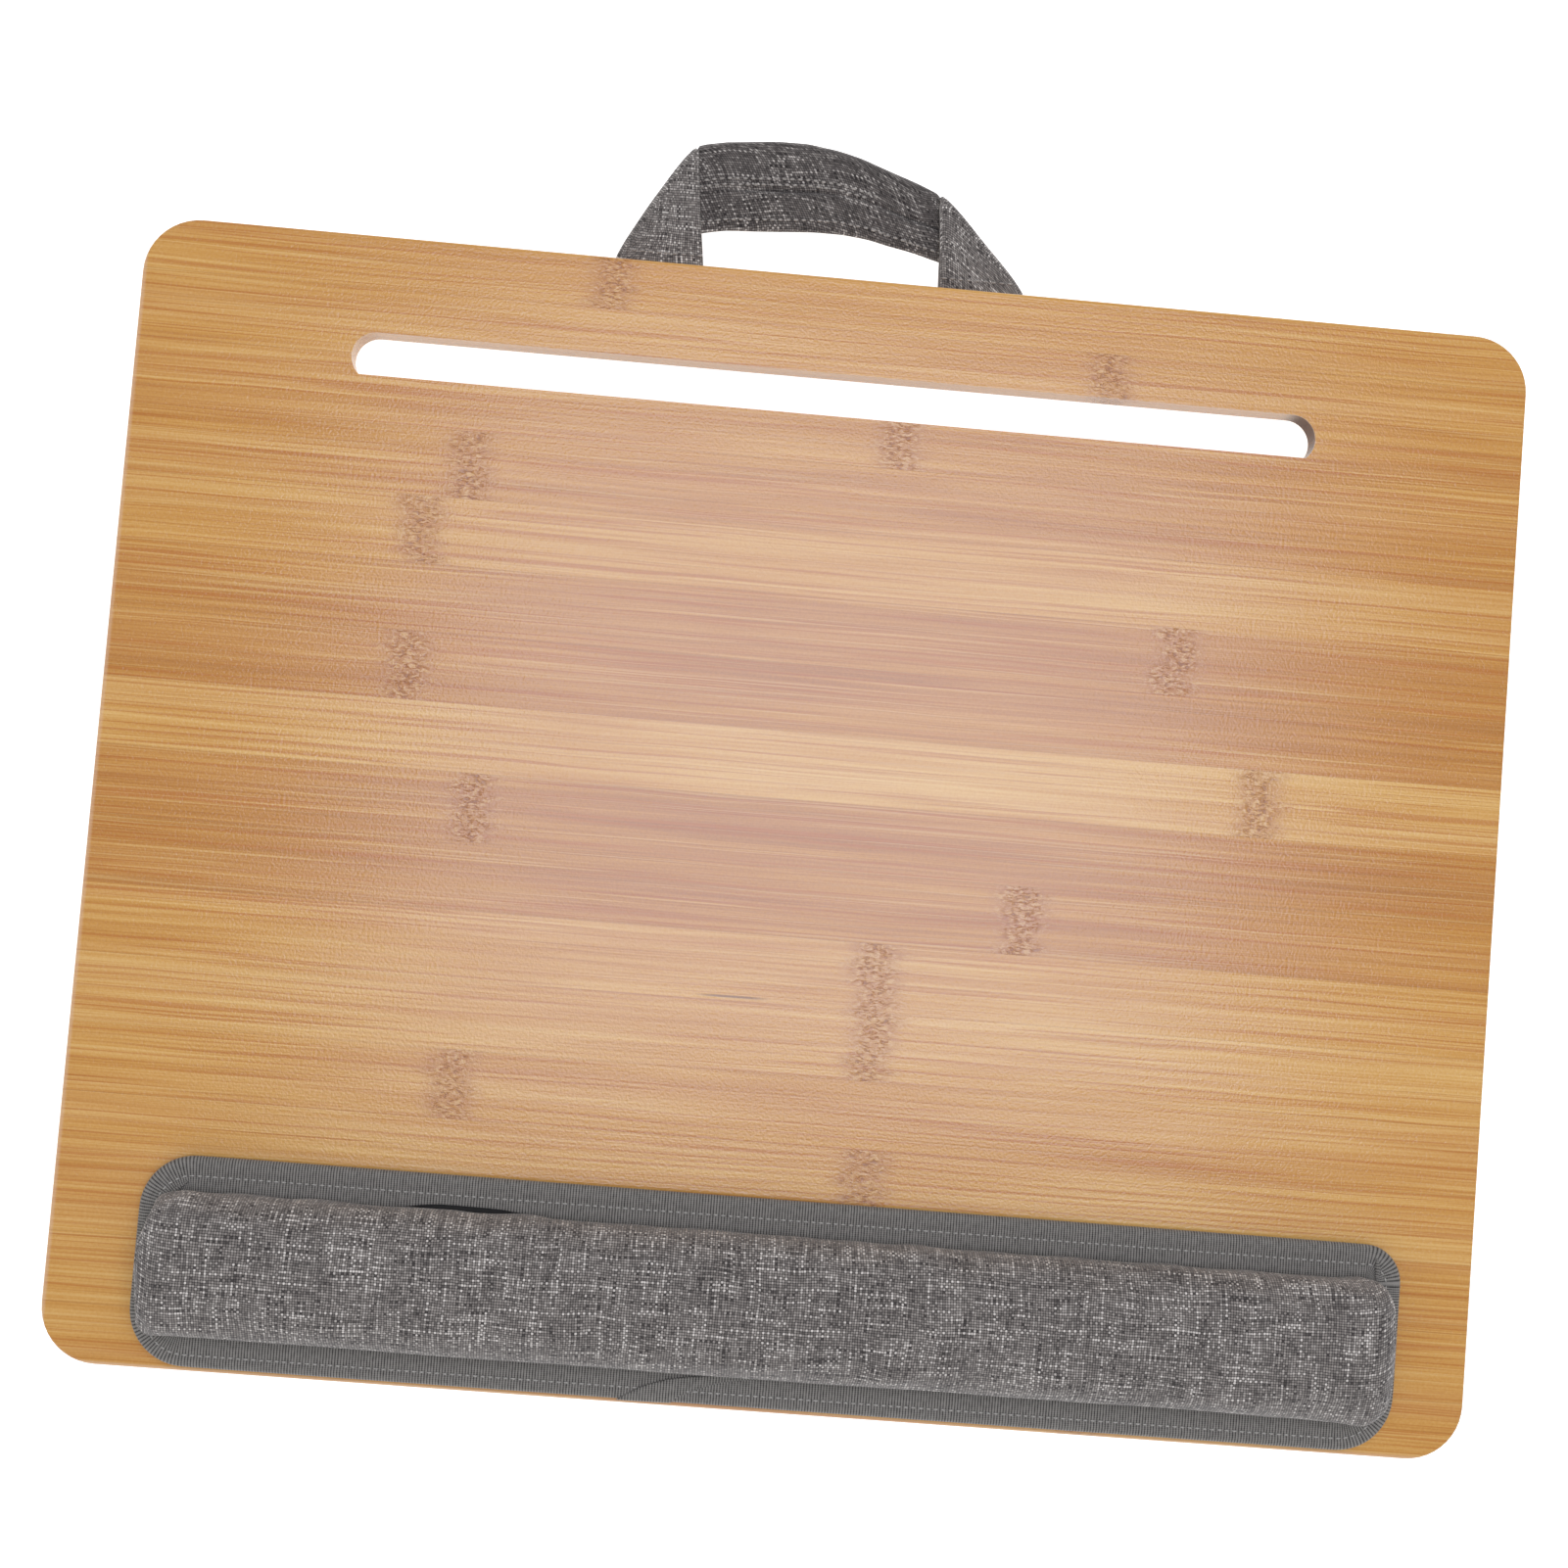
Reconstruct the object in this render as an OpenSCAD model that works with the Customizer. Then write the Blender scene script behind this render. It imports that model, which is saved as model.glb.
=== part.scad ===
// Lap desk for a laptop: a bamboo board with a device slot, a lift-off wrist rest, a fabric
// carry handle and a two-bolster cushion under it. +X is the right, +Y points away from the
// user and +Z is up. The origin lies under the middle of the whole object, on the surface it
// stands on.

/* [Board] */
// Width of the board, left to right
board_w = 400; // [360:1:480]
// Depth of the board, front to back
board_d = 323; // [300:1:380]
// Thickness of the board
board_t = 8; // [7:0.5:12]
// Radius of the board's corners in plan
board_corner = 16; // [8:1:30]
// Rounding along the board's upper and lower edges
board_edge = 1; // [0.6:0.1:2]

/* [Device slot] */
// Length of the slot between its rounded ends
slot_w = 278; // [160:1:300]
// Radius of the slot's rounded ends
slot_end_r = 7; // [5:0.5:9]
// Opening of the slot, from its straight front edge to its back edge
slot_d = 12.4; // [11:0.2:13]
// Wood between the slot and the board's rear edge
slot_land = 28; // [28:0.5:40]

/* [Carry handle] */
// Width of the strap
strap_w = 26; // [22:0.5:30]
// Thickness of the padded strap
strap_t = 2.4; // [1.8:0.1:3.2]
// Distance between the middles of the two strap ends
handle_span = 94; // [80:1:120]
// Shift of the handle from the middle of the board
handle_shift = -7; // [-20:1:20]
// Length of strap that lies under the board
foot_len = 24; // [20:0.5:25]
// Distance of the bending line behind the board's rear edge
bend_gap = 2.5; // [2:0.1:4]
// Free air inside the strap's folds
fold_air = 0.3; // [0.2:0.1:1]
// Angle of the left fold from the strap end's own direction
fold_left = 35; // [30:1:42]
// Angle of the right fold
fold_right = 42; // [34:1:46]
// Outward lean of the left leg of the handle
lean_left = 5; // [0:1:8]

/* [Handle screws] */
// Radius of the screw's shank
screw_r = 1.6; // [1.2:0.1:2]
// Depth that the screw bites into the board
screw_bite = 5.5; // [4:0.5:6]
// Radius of the screw's pan head
screw_head_r = 3.2; // [2.8:0.1:3.6]
// Height of the screw's pan head
screw_head_h = 2.2; // [1.6:0.1:3]
// Distance between the two screws of a strap end
screw_pitch = 13; // [10:0.5:14]
// Radius of the washers
washer_r = 4.4; // [4:0.1:4.8]
// Thickness of the washers
washer_t = 0.8; // [0.5:0.1:1.2]

/* [Wrist rest] */
// Width of the bound panel
wrist_w = 354; // [300:1:356]
// Depth of the bound panel
wrist_d = 59.5; // [54:0.5:70]
// Corner radius of the bound panel
wrist_corner = 14; // [8:0.5:18]
// Distance of the panel from the board's front edge
wrist_inset = 2.6; // [1:0.1:10]
// Shift of the wrist rest to the right
wrist_shift = 2.3; // [0:0.1:10]
// Thickness of the bottom fabric
backing_t = 0.8; // [0.5:0.1:1.5]
// Thickness of the stiffening sheet
stiffener_t = 1.5; // [1:0.1:3]
// Thickness of the binding tape
tape_t = 0.7; // [0.5:0.1:1]
// Width of the binding tape on the upper side
tape_w = 15; // [12:0.5:16]
// Width of the binding tape on the under side
tape_under_w = 9; // [6:0.5:10]
// Length of the roll
roll_len = 349; // [250:1:350]
// Width of the roll at its fullest height
roll_w = 40.4; // [38:0.2:44]
// Height of the roll over the panel
roll_h = 17.5; // [14:0.5:24]
// Height at which the roll is fullest
roll_full = 7; // [5:0.5:10]
// Thickness of the roll's cover
roll_cover_t = 1; // [0.8:0.1:1.5]

/* [Hook and loop pads] */
// Number of pads
pad_count = 3; // [2:1:4]
// Distance between the pads
pad_pitch = 120; // [80:5:120]
// Width of a pad
pad_w = 60; // [40:1:70]
// Depth of a pad
pad_d = 30; // [20:1:34]
// Thickness of the hook half
hook_t = 1.2; // [1:0.1:2]
// Thickness of the loop half
loop_t = 1.2; // [1:0.1:2]

/* [Cushion] */
// Width of the cushion
cushion_w = 372; // [330:1:390]
// Depth of the cushion
cushion_d = 248; // [220:1:252]
// Corner radius of the cushion
cushion_corner = 24; // [16:1:32]
// Distance of the cushion from the board's front edge
cushion_inset = 10; // [6:1:14]
// Thickness of the top panel that is glued to the board
panel_t = 1.5; // [1:0.1:3]
// Height of the side band
band_h = 16; // [15:0.5:24]
// Thickness of the side band's fabric
band_t = 1.5; // [1.2:0.1:2]
// Thickness of the bottom fabric
bottom_t = 1.2; // [0.8:0.1:2]
// Radius of the piping along the lower seam
piping_r = 1.75; // [1.2:0.05:2.2]

/* [Bolsters] */
// Width of a bolster at its seam
bolster_w = 112; // [90:1:124]
// Bulge of a bolster's sides past its seam
bolster_bulge = 4; // [2:0.5:5]
// Height of a bolster below the bottom fabric
bolster_h = 36.3; // [28:0.1:50]
// Height above the seam at which a bolster is fullest
bolster_full = 13; // [9:0.5:16]
// Fall of a bolster's crown towards its two ends
bolster_crown = 4; // [2:0.5:8]
// Pull of the long sides towards the middle
bolster_pull = 2; // [0:0.5:4]
// Thickness of a bolster's cover
cover_t = 1.2; // [0.8:0.1:2]
// Distance of the bolster's seam from the cushion's edge
seam_inset = 7; // [6:0.5:12]
// Depth of the flat on which a bolster stands
stand_cut = 0.5; // [0.3:0.1:1]

/* [Zip] */
// Length of the zip's chain
zip_len = 226; // [120:1:240]
// Height of the zip's tape
zip_tape_h = 11; // [9:0.5:12]
// Thickness of the zip's tape
zip_tape_t = 1; // [0.6:0.1:1.2]
// Height of the closed chain
chain_h = 4.4; // [3:0.2:5]
// Depth of the closed chain
chain_t = 1.7; // [1.2:0.1:2.2]
// Length of the slider
slider_len = 9; // [7:0.5:12]
// Wall of the slider
slider_wall = 1; // [0.8:0.1:1.4]
// Length of the pull tab from its pin
pull_len = 22; // [14:1:30]
// Height of the pull tab
pull_h = 5; // [4:0.2:6]
// Thickness of the pull tab
pull_t = 1.1; // [0.8:0.1:1.4]
// Radius of the slider's pin
pin_r = 0.8; // [0.6:0.05:1]
// Wall round the pin's hole in the pull
eye_wall = 0.9; // [0.7:0.1:1.2]
// Height of the eye of the pull
eye_h = 3; // [2.4:0.1:3.6]
// Width of the posts that hold the pin
post_w = 1; // [0.8:0.1:1.4]

/* [Clearances] */
// Air between soft pieces that lie in each other
soft_clear = 0.3; // [0.2:0.05:0.5]
// Air between a strap end and the bending strap behind it
bend_clear = 0.3; // [0.2:0.05:0.6]
// Air round a screw's shank in a washer or in the strap
shank_clear = 0.2; // [0.1:0.05:0.4]
// Air between a screw's shank and the pilot hole
pilot_clear = 0.05; // [0.02:0.01:0.1]
// Air between sewn layers and the fabric round them
layer_clear = 0.1; // [0.05:0.05:0.3]
// Air between the slider and the chain
slide_clear = 0.3; // [0.2:0.05:0.5]
// Air between the pull's eye and the pin
pin_clear = 0.25; // [0.2:0.05:0.4]

/* [Hidden] */
$fn = 48;

bamboo = "#d3a46c";
melange = "#7d7a7c";
dark_melange = "#5f5d60";
grosgrain = "#6d7471";
foam_white = "#e9e5da";
steel = "#b9bcc0";
black_nylon = "#2b2c2e";

// Heights, from the surface that the object stands on
bottom_z = bolster_h + bottom_t;
panel_z = bottom_z + band_h;
board_z = panel_z + panel_t;
board_top_z = board_z + board_t;

// The bend of the handle, along the strap's middle layer
bend_r = (strap_t + fold_air) / 2;
bend_y = board_d / 2 + bend_gap;
bend_z = board_z - strap_t / 2;
// The strap runs straight for this much before it starts to fold
fold_start = strap_t / 2;

// Direction along a fold line, and the direction across it that points away from the strap end
function along(angle) = [sin(angle), cos(angle)];
function across(angle) = [-cos(angle), sin(angle)];

// One straight line across the folded strap. turn runs from 0 on the upper layer to 180 on the
// lower one. It returns the ends on the outer and the inner edge, and the surface's normal,
// with x measured from the strap end's middle towards the middle of the handle.
function fold_line(turn, angle, lean) = let (
    sharp = angle + lean,
    run = bend_r * turn * PI / 180,
    out = along(angle) * (run / tan(sharp)),
    inn = along(angle) * (strap_w * sin(angle) + (run + strap_w * cos(angle)) / tan(sharp)),
    off = across(angle) * bend_r * sin(turn),
    z = -bend_r * (1 - cos(turn)),
    start = [-strap_w / 2, fold_start]
) [
    [start.x + out.x + off.x, start.y + out.y + off.y, z],
    [start.x + inn.x + off.x, start.y + inn.y + off.y, z],
    [across(angle).x * sin(turn), across(angle).y * sin(turn), cos(turn)]
];

// A station on the handle: outer end, inner end, normal and thickness share
function on_side(line, middle, side) = [
    [middle + side * line[0].x, line[0].y, line[0].z],
    [middle + side * line[1].x, line[1].y, line[1].z],
    [side * line[2].x, line[2].y, line[2].z],
    1
];
function flat_station(middle, side, y, share) = [
    [middle - side * strap_w / 2, y, 0], [middle + side * strap_w / 2, y, 0], [0, 0, 1], share
];

left_x = handle_shift - handle_span / 2;
right_x = handle_shift + handle_span / 2;
left_leg = concat(
    [for (a = [90, 60, 30]) flat_station(left_x, 1, -strap_t / 2 * sin(a), max(cos(a), 0.1))],
    [flat_station(left_x, 1, 0, 1)],
    [for (turn = [0:30:180]) on_side(fold_line(turn, fold_left, lean_left), left_x, 1)]
);
right_leg = concat(
    [for (turn = [180:-30:0]) on_side(fold_line(turn, fold_right, 0), right_x, -1)],
    [flat_station(right_x, -1, 0, 1)],
    [for (a = [30, 60, 90]) flat_station(right_x, -1, -strap_t / 2 * sin(a), max(cos(a), 0.1))]
);

// Between the folds the strap lies on the lower layer. It leaves each fold in the direction
// that the fold gives it, and bends on edge in one smooth curve.
arch_steps = 8;
function flat_dir(slope) = [cos(slope), sin(slope), 0];
leave_left = flat_dir(90 - 2 * fold_left - lean_left);
leave_right = flat_dir(2 * fold_right - 90);
low_left = left_leg[len(left_leg) - 1];
low_right = right_leg[0];
function squared(line, dir) = [
    line[0] + dir * ((line[1] - line[0]) * dir), line[1], line[2], line[3]
];
square_left = squared(low_left, leave_left);
square_right = squared(low_right, leave_right);
function bend_curve(a, b, t) = let (
    third = norm(b - a) / 3,
    p = a + leave_left * third,
    q = b - leave_right * third,
    r = 1 - t
) a * pow(r, 3) + p * (3 * r * r * t) + q * (3 * r * t * t) + b * pow(t, 3);
middle_band = [for (i = [0:arch_steps]) [
    bend_curve(square_left[0], square_right[0], i / arch_steps),
    bend_curve(square_left[1], square_right[1], i / arch_steps),
    [0, 0, -1],
    1
]];
strap_line = concat(left_leg, middle_band, right_leg);
handle_reach = bend_gap + max([for (s = strap_line) max(s[0].y, s[1].y)]);

// The board is set forward, so that the origin is under the middle of the board and handle
board_y = -handle_reach / 2;

// Wrist rest, seen from the board's middle
wrist_x = wrist_shift;
wrist_y = -board_d / 2 + wrist_inset + wrist_d / 2;
hook_z = board_top_z + loop_t;
backing_z = hook_z + hook_t;
stiffener_z = backing_z + backing_t;
tape_z = stiffener_z + stiffener_t;
roll_z = tape_z + tape_t;
// Rounded ends of the roll and the bolsters: length, cut at the sides, cut in height
roll_ends = [8, 6.5, 4.5];
bolster_ends = [26, 20, 14];

// Cushion, seen from the board's middle
cushion_y = -board_d / 2 + cushion_inset + cushion_d / 2;
bolster_x = cushion_w / 2 - seam_inset - bolster_w / 2;
bolster_len = cushion_d - 2 * seam_inset;
rear_y = cushion_y + cushion_d / 2;

// Zip, on the rear of the side band
zip_z = bottom_z + band_h / 2;
slider_in = chain_t + slide_clear;
slider_h = chain_h + 2 * (slide_clear + slider_wall);
eye_r = pin_r + pin_clear + eye_wall;
pin_y = rear_y + slider_in + slider_wall + slide_clear + eye_r;
slider_home = -zip_len / 2 + slider_len;
stop_len = 2;

// Flat outline with round corners
module round_rect(w, d, r) {
    square([w - 2 * r, d], center = true);
    square([w, d - 2 * r], center = true);
    for (x = [-1, 1], y = [-1, 1])
        translate([x * (w / 2 - r), y * (d / 2 - r)]) circle(r);
}

module plate(w, d, r, h) {
    linear_extrude(h) round_rect(w, d, r);
}

module on_board() {
    translate([0, board_y, 0]) children();
}

// Ring with the section given as a child: straight runs along the sides, a quarter turn at
// each corner. The child lies at the corner's radius r on its own X axis.
module corner_turns(w, d, r) {
    for (i = [0:3]) {
        x = (i == 0 || i == 3) ? 1 : -1;
        y = i < 2 ? 1 : -1;
        translate([x * (w / 2 - r), y * (d / 2 - r), 0])
            rotate([0, 0, 90 * i]) rotate_extrude(angle = 90) children();
    }
}

// What a rounded edge takes away along the rim of a plate of height h
module rim_cut(w, d, r, edge, h) {
    for (up = [0, 1]) translate([0, 0, up * h]) mirror([0, 0, up]) {
        corner_turns(w, d, r) difference() {
            translate([r - edge, -1]) square([edge + 1, edge + 1]);
            translate([r - edge, edge]) circle(edge);
        }
        for (a = [0, 180]) {
            rotate([0, 0, a]) rim_run(w / 2, d - 2 * r, edge);
            rotate([0, 0, a + 90]) rim_run(d / 2, w - 2 * r, edge);
        }
    }
}

module rim_run(x, run, edge) {
    translate([x, run / 2, 0]) rotate([90, 0, 0]) linear_extrude(run) difference() {
        translate([-edge, -1]) square([edge + 1, edge + 1]);
        translate([-edge, edge]) circle(edge);
    }
}

// Outline of the slot: round ends, cut straight along its front edge
module slot_outline() {
    intersection() {
        full_round_slot();
        translate([-slot_w / 2, slot_end_r - slot_d]) square([slot_w, slot_d]);
    }
}

module full_round_slot() {
    square([slot_w - 2 * slot_end_r, 2 * slot_end_r], center = true);
    for (x = [-1, 1]) translate([x * (slot_w / 2 - slot_end_r), 0]) circle(slot_end_r);
}

// The two screws of each strap end, as places under the board
module at_screws() {
    for (x = [left_x, right_x], s = [-1, 1])
        translate([x + s * screw_pitch / 2, bend_y - strap_t / 2 - bend_clear - foot_len / 2, 0])
            children();
}

module board() {
    color(bamboo) on_board() translate([0, 0, board_z]) difference() {
        plate(board_w, board_d, board_corner, board_t);
        rim_cut(board_w, board_d, board_corner, board_edge, board_t);
        translate([0, board_d / 2 - slot_land - slot_end_r, -1])
            linear_extrude(board_t + 2) slot_outline();
        at_screws() translate([0, 0, -1]) cylinder(h = screw_bite + 1, r = screw_r + pilot_clear);
    }
}

module handle_foot(x) {
    color(melange) on_board() difference() {
        translate([
            x - strap_w / 2, bend_y - strap_t / 2 - bend_clear - foot_len, board_z - strap_t
        ]) cube([strap_w, foot_len, strap_t]);
        at_screws() translate([0, 0, board_z - strap_t - 1])
            cylinder(h = strap_t + 2, r = screw_r + shank_clear);
    }
}

module handle_foot_left() {
    handle_foot(left_x);
}

module handle_foot_right() {
    handle_foot(right_x);
}

module handle_washers() {
    color(steel) on_board() at_screws() translate([0, 0, board_z - strap_t - washer_t])
        difference() {
            cylinder(h = washer_t, r = washer_r);
            translate([0, 0, -1]) cylinder(h = washer_t + 2, r = screw_r + shank_clear);
        }
}

// Pan-head wood screws, driven up from below, with a cross recess
module handle_screws() {
    head_z = board_z - strap_t - washer_t;
    recess_w = screw_head_r * 0.25;
    recess_l = screw_head_r * 1.1;
    recess_h = screw_head_h * 0.55;
    color(steel) on_board() at_screws() {
        translate([0, 0, head_z]) cylinder(h = board_z + screw_bite - head_z, r = screw_r);
        difference() {
            translate([0, 0, head_z - screw_head_h]) {
                translate([0, 0, screw_head_h / 2])
                    cylinder(h = screw_head_h / 2, r = screw_head_r);
                cylinder(h = screw_head_h / 2, r1 = screw_head_r * 0.8, r2 = screw_head_r);
            }
            for (a = [0, 90]) rotate([0, 0, a])
                translate([-recess_l / 2, -recess_w / 2, head_z - screw_head_h - 1])
                    cube([recess_l, recess_w, recess_h + 1]);
        }
    }
}

// Section of the strap at a station: six points, with soft edges
function strap_points(s) = let (
    edge = (s[1] - s[0]) / norm(s[1] - s[0]) * strap_t / 2,
    up = s[2] * strap_t / 2 * s[3]
) [
    s[0], s[0] + edge + up, s[1] - edge + up, s[1], s[1] - edge - up, s[0] + edge - up
];

// Skin between sections of n points each, with both ends closed
function skin_faces(count, n) = concat(
    [for (i = [0:count - 2], j = [0:n - 1]) let (k = (j + 1) % n)
        [i * n + j, (i + 1) * n + j, (i + 1) * n + k]],
    [for (i = [0:count - 2], j = [0:n - 1]) let (k = (j + 1) % n)
        [i * n + j, (i + 1) * n + k, i * n + k]],
    [for (j = [1:n - 2]) [0, j, j + 1]],
    [for (j = [1:n - 2]) let (e = (count - 1) * n) [e, e + j + 1, e + j]]
);

module handle_loop() {
    color(melange) on_board() translate([0, bend_y, bend_z])
        polyhedron([for (s = strap_line) each strap_points(s)], skin_faces(len(strap_line), 6));
}

// Places of the hook and loop pads, seen from the board's middle
module at_pads() {
    for (i = [0:pad_count - 1])
        translate([wrist_x + (i - (pad_count - 1) / 2) * pad_pitch, wrist_y, 0]) children();
}

module pad(h) {
    translate([-pad_w / 2, -pad_d / 2, 0]) cube([pad_w, pad_d, h]);
}

module board_loop_pads() {
    color(dark_melange) on_board() at_pads() translate([0, 0, board_top_z]) pad(loop_t);
}

module wrist_hook_pads() {
    color(black_nylon) on_board() at_pads() translate([0, 0, hook_z]) pad(hook_t);
}

module at_wrist(z) {
    on_board() translate([wrist_x, wrist_y, z]) children();
}

module wrist_layer(h) {
    inset = tape_t + layer_clear;
    plate(wrist_w - 2 * inset, wrist_d - 2 * inset, wrist_corner - inset, h);
}

module wrist_backing() {
    color(dark_melange) at_wrist(backing_z) wrist_layer(backing_t);
}

module wrist_stiffener() {
    color(foam_white) at_wrist(stiffener_z) wrist_layer(stiffener_t);
}

// Tape that wraps the edge of the panel: under it, round it and over it
module wrist_binding() {
    color(grosgrain) at_wrist(backing_z - tape_t) difference() {
        plate(wrist_w, wrist_d, wrist_corner, roll_z - backing_z + tape_t);
        translate([0, 0, tape_t]) plate(
            wrist_w - 2 * tape_t, wrist_d - 2 * tape_t, wrist_corner - tape_t,
            tape_z - backing_z
        );
        translate([0, 0, -1]) tape_window(tape_under_w);
        translate([0, 0, tape_t + 1]) tape_window(tape_w);
    }
}

module tape_window(inset) {
    plate(
        wrist_w - 2 * inset, wrist_d - 2 * inset, max(wrist_corner - inset, 1),
        roll_z - backing_z + tape_t
    );
}

// Stuffed form with a flat side on z = 0 and its crown above. size is [length, full width,
// height], seam is the width at z = 0, full the height of the fullest line, ends is [length,
// side cut, height cut] of the rounded ends, crown the fall towards the ends, pull the drawing
// in of the long sides and top the height at which the crown is cut flat. take is the depth by
// which an inner form lies within the outer one. The section starts arch_low degrees below its
// fullest line on one side and ends so on the other.
arch_low = 30;
arch_power = 0.8;
arch_points = 14;
low_share = pow(cos(arch_low), arch_power);
function arch_x(a, w, seam) = a < 0 || a > 180
    ? seam + (w - seam) * (pow(abs(cos(a)), arch_power) - low_share) / (1 - low_share)
    : w * pow(abs(cos(a)), arch_power);
function arch_z(a, h, full) = sin(a) < 0
    ? full + full * sin(a) / sin(arch_low)
    : full + (h - full) * pow(sin(a), arch_power);
// Turn at which the crown meets the flat, or 0 where it stays below
function flat_turn(h, full, top) = h > top
    ? asin(pow((top - full) / (h - full), 1 / arch_power))
    : 0;
function stuffed_ring(x, w, seam, h, full, top) = let (flat = flat_turn(h, full, top)) [
    for (k = [0:arch_points]) let (
        even = -arch_low + k * (180 + 2 * arch_low) / arch_points,
        side = k - arch_points / 2,
        a = side == -1 ? max(even, flat) : side == 1 ? min(even, 180 - flat) : even
    ) [x, (a < 90 ? 1 : -1) * arch_x(a, w, seam), min(arch_z(a, h, full), top)]
];
// Stations along the form: place, turn of the end's rounding
function stuffed_stations(length, end_r, mids) = concat(
    [for (b = [90:-30:30]) [-length / 2 + end_r * (1 - sin(b)), b]],
    [for (i = [0:mids]) [-length / 2 + end_r + i * (length - 2 * end_r) / mids, 0]],
    [for (b = [30:30:90]) [length / 2 - end_r * (1 - sin(b)), b]]
);
function stuffed_rings(size, seam, full, ends, crown, pull, top, take) = let (
    length = size.x - 2 * take
) [for (s = stuffed_stations(length, ends[0] - take, 6)) let (
    u = 2 * s[0] / length,
    drop = 1 - cos(s[1]),
    side = ends[1] * drop + pull * (1 - u * u) + take
) stuffed_ring(
    s[0], size.y / 2 - side, seam / 2 - side, size.z - crown * u * u - ends[2] * drop - take,
    full, top - take
)];

// A closed form, as the filling is
module stuffed(rings) {
    polyhedron([for (r = rings) each r], skin_faces(len(rings), len(rings[0])));
}

// Faces of a cover that is open at z = 0: the outer skin, the inner skin and the rim. o and i
// are the first points of the outer and the inner skin.
function open_skin(count, n, o) = concat(
    [for (s = [0:count - 2], j = [0:n - 2]) [o + s * n + j, o + (s + 1) * n + j, o + (s + 1) * n + j + 1]],
    [for (s = [0:count - 2], j = [0:n - 2]) [o + s * n + j, o + (s + 1) * n + j + 1, o + s * n + j + 1]],
    [for (j = [1:n - 2]) [o, o + j, o + j + 1]],
    [for (j = [1:n - 2]) let (e = o + (count - 1) * n) [e, e + j + 1, e + j]]
);
function turned(faces) = [for (f = faces) [f[2], f[1], f[0]]];
function quad(a, b, c, d) = [[a, b, c], [a, c, d]];
module stuffed_cover(outer, inner) {
    count = len(outer);
    n = len(outer[0]);
    i = count * n;
    last = (count - 1) * n;
    polyhedron(
        [for (r = concat(outer, inner)) each r],
        concat(
            open_skin(count, n, 0),
            turned(open_skin(count, n, i)),
            [for (s = [0:n:last - n]) each
                quad(s + n - 1, s + 2 * n - 1, i + s + 2 * n - 1, i + s + n - 1)],
            [for (s = [0:n:last - n]) each quad(i + s, i + s + n, s + n, s)],
            quad(n - 1, i + n - 1, i, 0),
            quad(i + last + n - 1, last + n - 1, last, i + last)
        )
    );
}

function roll_rings(take) = stuffed_rings(
    [roll_len, roll_w, roll_h], roll_w - 3, roll_full, roll_ends, 0.5, 0.4, roll_h + 1, take
);

module wrist_foam() {
    color(foam_white) at_wrist(roll_z) stuffed(roll_rings(roll_cover_t + soft_clear));
}

module wrist_cover() {
    color(melange) at_wrist(roll_z) stuffed_cover(roll_rings(0), roll_rings(roll_cover_t));
}

module at_cushion(z) {
    on_board() translate([0, cushion_y, z]) children();
}

module cushion_top_panel() {
    color(dark_melange) at_cushion(panel_z) plate(cushion_w, cushion_d, cushion_corner, panel_t);
}

module cushion_side_band() {
    color(melange) difference() {
        at_cushion(bottom_z) difference() {
            plate(cushion_w, cushion_d, cushion_corner, band_h);
            translate([0, 0, -1]) plate(
                cushion_w - 2 * band_t, cushion_d - 2 * band_t, cushion_corner - band_t,
                band_h + 2
            );
        }
        on_board() translate([
            -zip_len / 2 - stop_len - layer_clear, rear_y - band_t - 1,
            zip_z - zip_tape_h / 2 - layer_clear
        ]) cube([
            zip_len + 2 * (stop_len + layer_clear), band_t + 2, zip_tape_h + 2 * layer_clear
        ]);
    }
}

module cushion_foam_slab() {
    inset = band_t + soft_clear;
    color(foam_white) at_cushion(bottom_z)
        plate(cushion_w - 2 * inset, cushion_d - 2 * inset, cushion_corner - inset, band_h);
}

module cushion_bottom_panel() {
    inset = 2 * piping_r + soft_clear;
    color(dark_melange) at_cushion(bottom_z - bottom_t)
        plate(cushion_w - 2 * inset, cushion_d - 2 * inset, cushion_corner - inset, bottom_t);
}

// Round cord in its own fabric, sewn under the side band's lower edge
module cushion_piping() {
    w = cushion_w - 2 * piping_r;
    d = cushion_d - 2 * piping_r;
    r = cushion_corner - piping_r;
    color(grosgrain) at_cushion(bottom_z - piping_r) {
        corner_turns(w, d, r) translate([r, 0]) circle(piping_r);
        for (a = [0, 180]) rotate([0, 0, a]) {
            translate([w / 2, d / 2 - r, 0]) rotate([90, 0, 0]) cylinder(h = d - 2 * r, r = piping_r);
            translate([-w / 2 + r, d / 2, 0]) rotate([0, 90, 0]) cylinder(h = w - 2 * r, r = piping_r);
        }
    }
}

// A bolster hangs crown down from the bottom fabric, with its length from front to back
function bolster_rings(take) = stuffed_rings(
    [bolster_len, bolster_w + 2 * bolster_bulge, bolster_h + stand_cut], bolster_w, bolster_full,
    bolster_ends, bolster_crown, bolster_pull, bolster_h, take
);

module at_bolster(side) {
    at_cushion(bolster_h) translate([side * bolster_x, 0, 0]) mirror([0, 0, 1]) rotate([0, 0, 90])
        children();
}

module bolster_cover(side) {
    color(melange) at_bolster(side) stuffed_cover(bolster_rings(0), bolster_rings(cover_t));
}

module bolster_filling(side) {
    color(foam_white) at_bolster(side) stuffed(bolster_rings(cover_t + soft_clear));
}

module bolster_cover_left() {
    bolster_cover(-1);
}

module bolster_cover_right() {
    bolster_cover(1);
}

module bolster_filling_left() {
    bolster_filling(-1);
}

module bolster_filling_right() {
    bolster_filling(1);
}

// Tape of the zip, set into the side band, flush with its outer face
module zip_tape() {
    color(black_nylon) on_board()
        translate([-zip_len / 2 - stop_len, rear_y - zip_tape_t, zip_z - zip_tape_h / 2])
            cube([zip_len + 2 * stop_len, zip_tape_t, zip_tape_h]);
}

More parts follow.
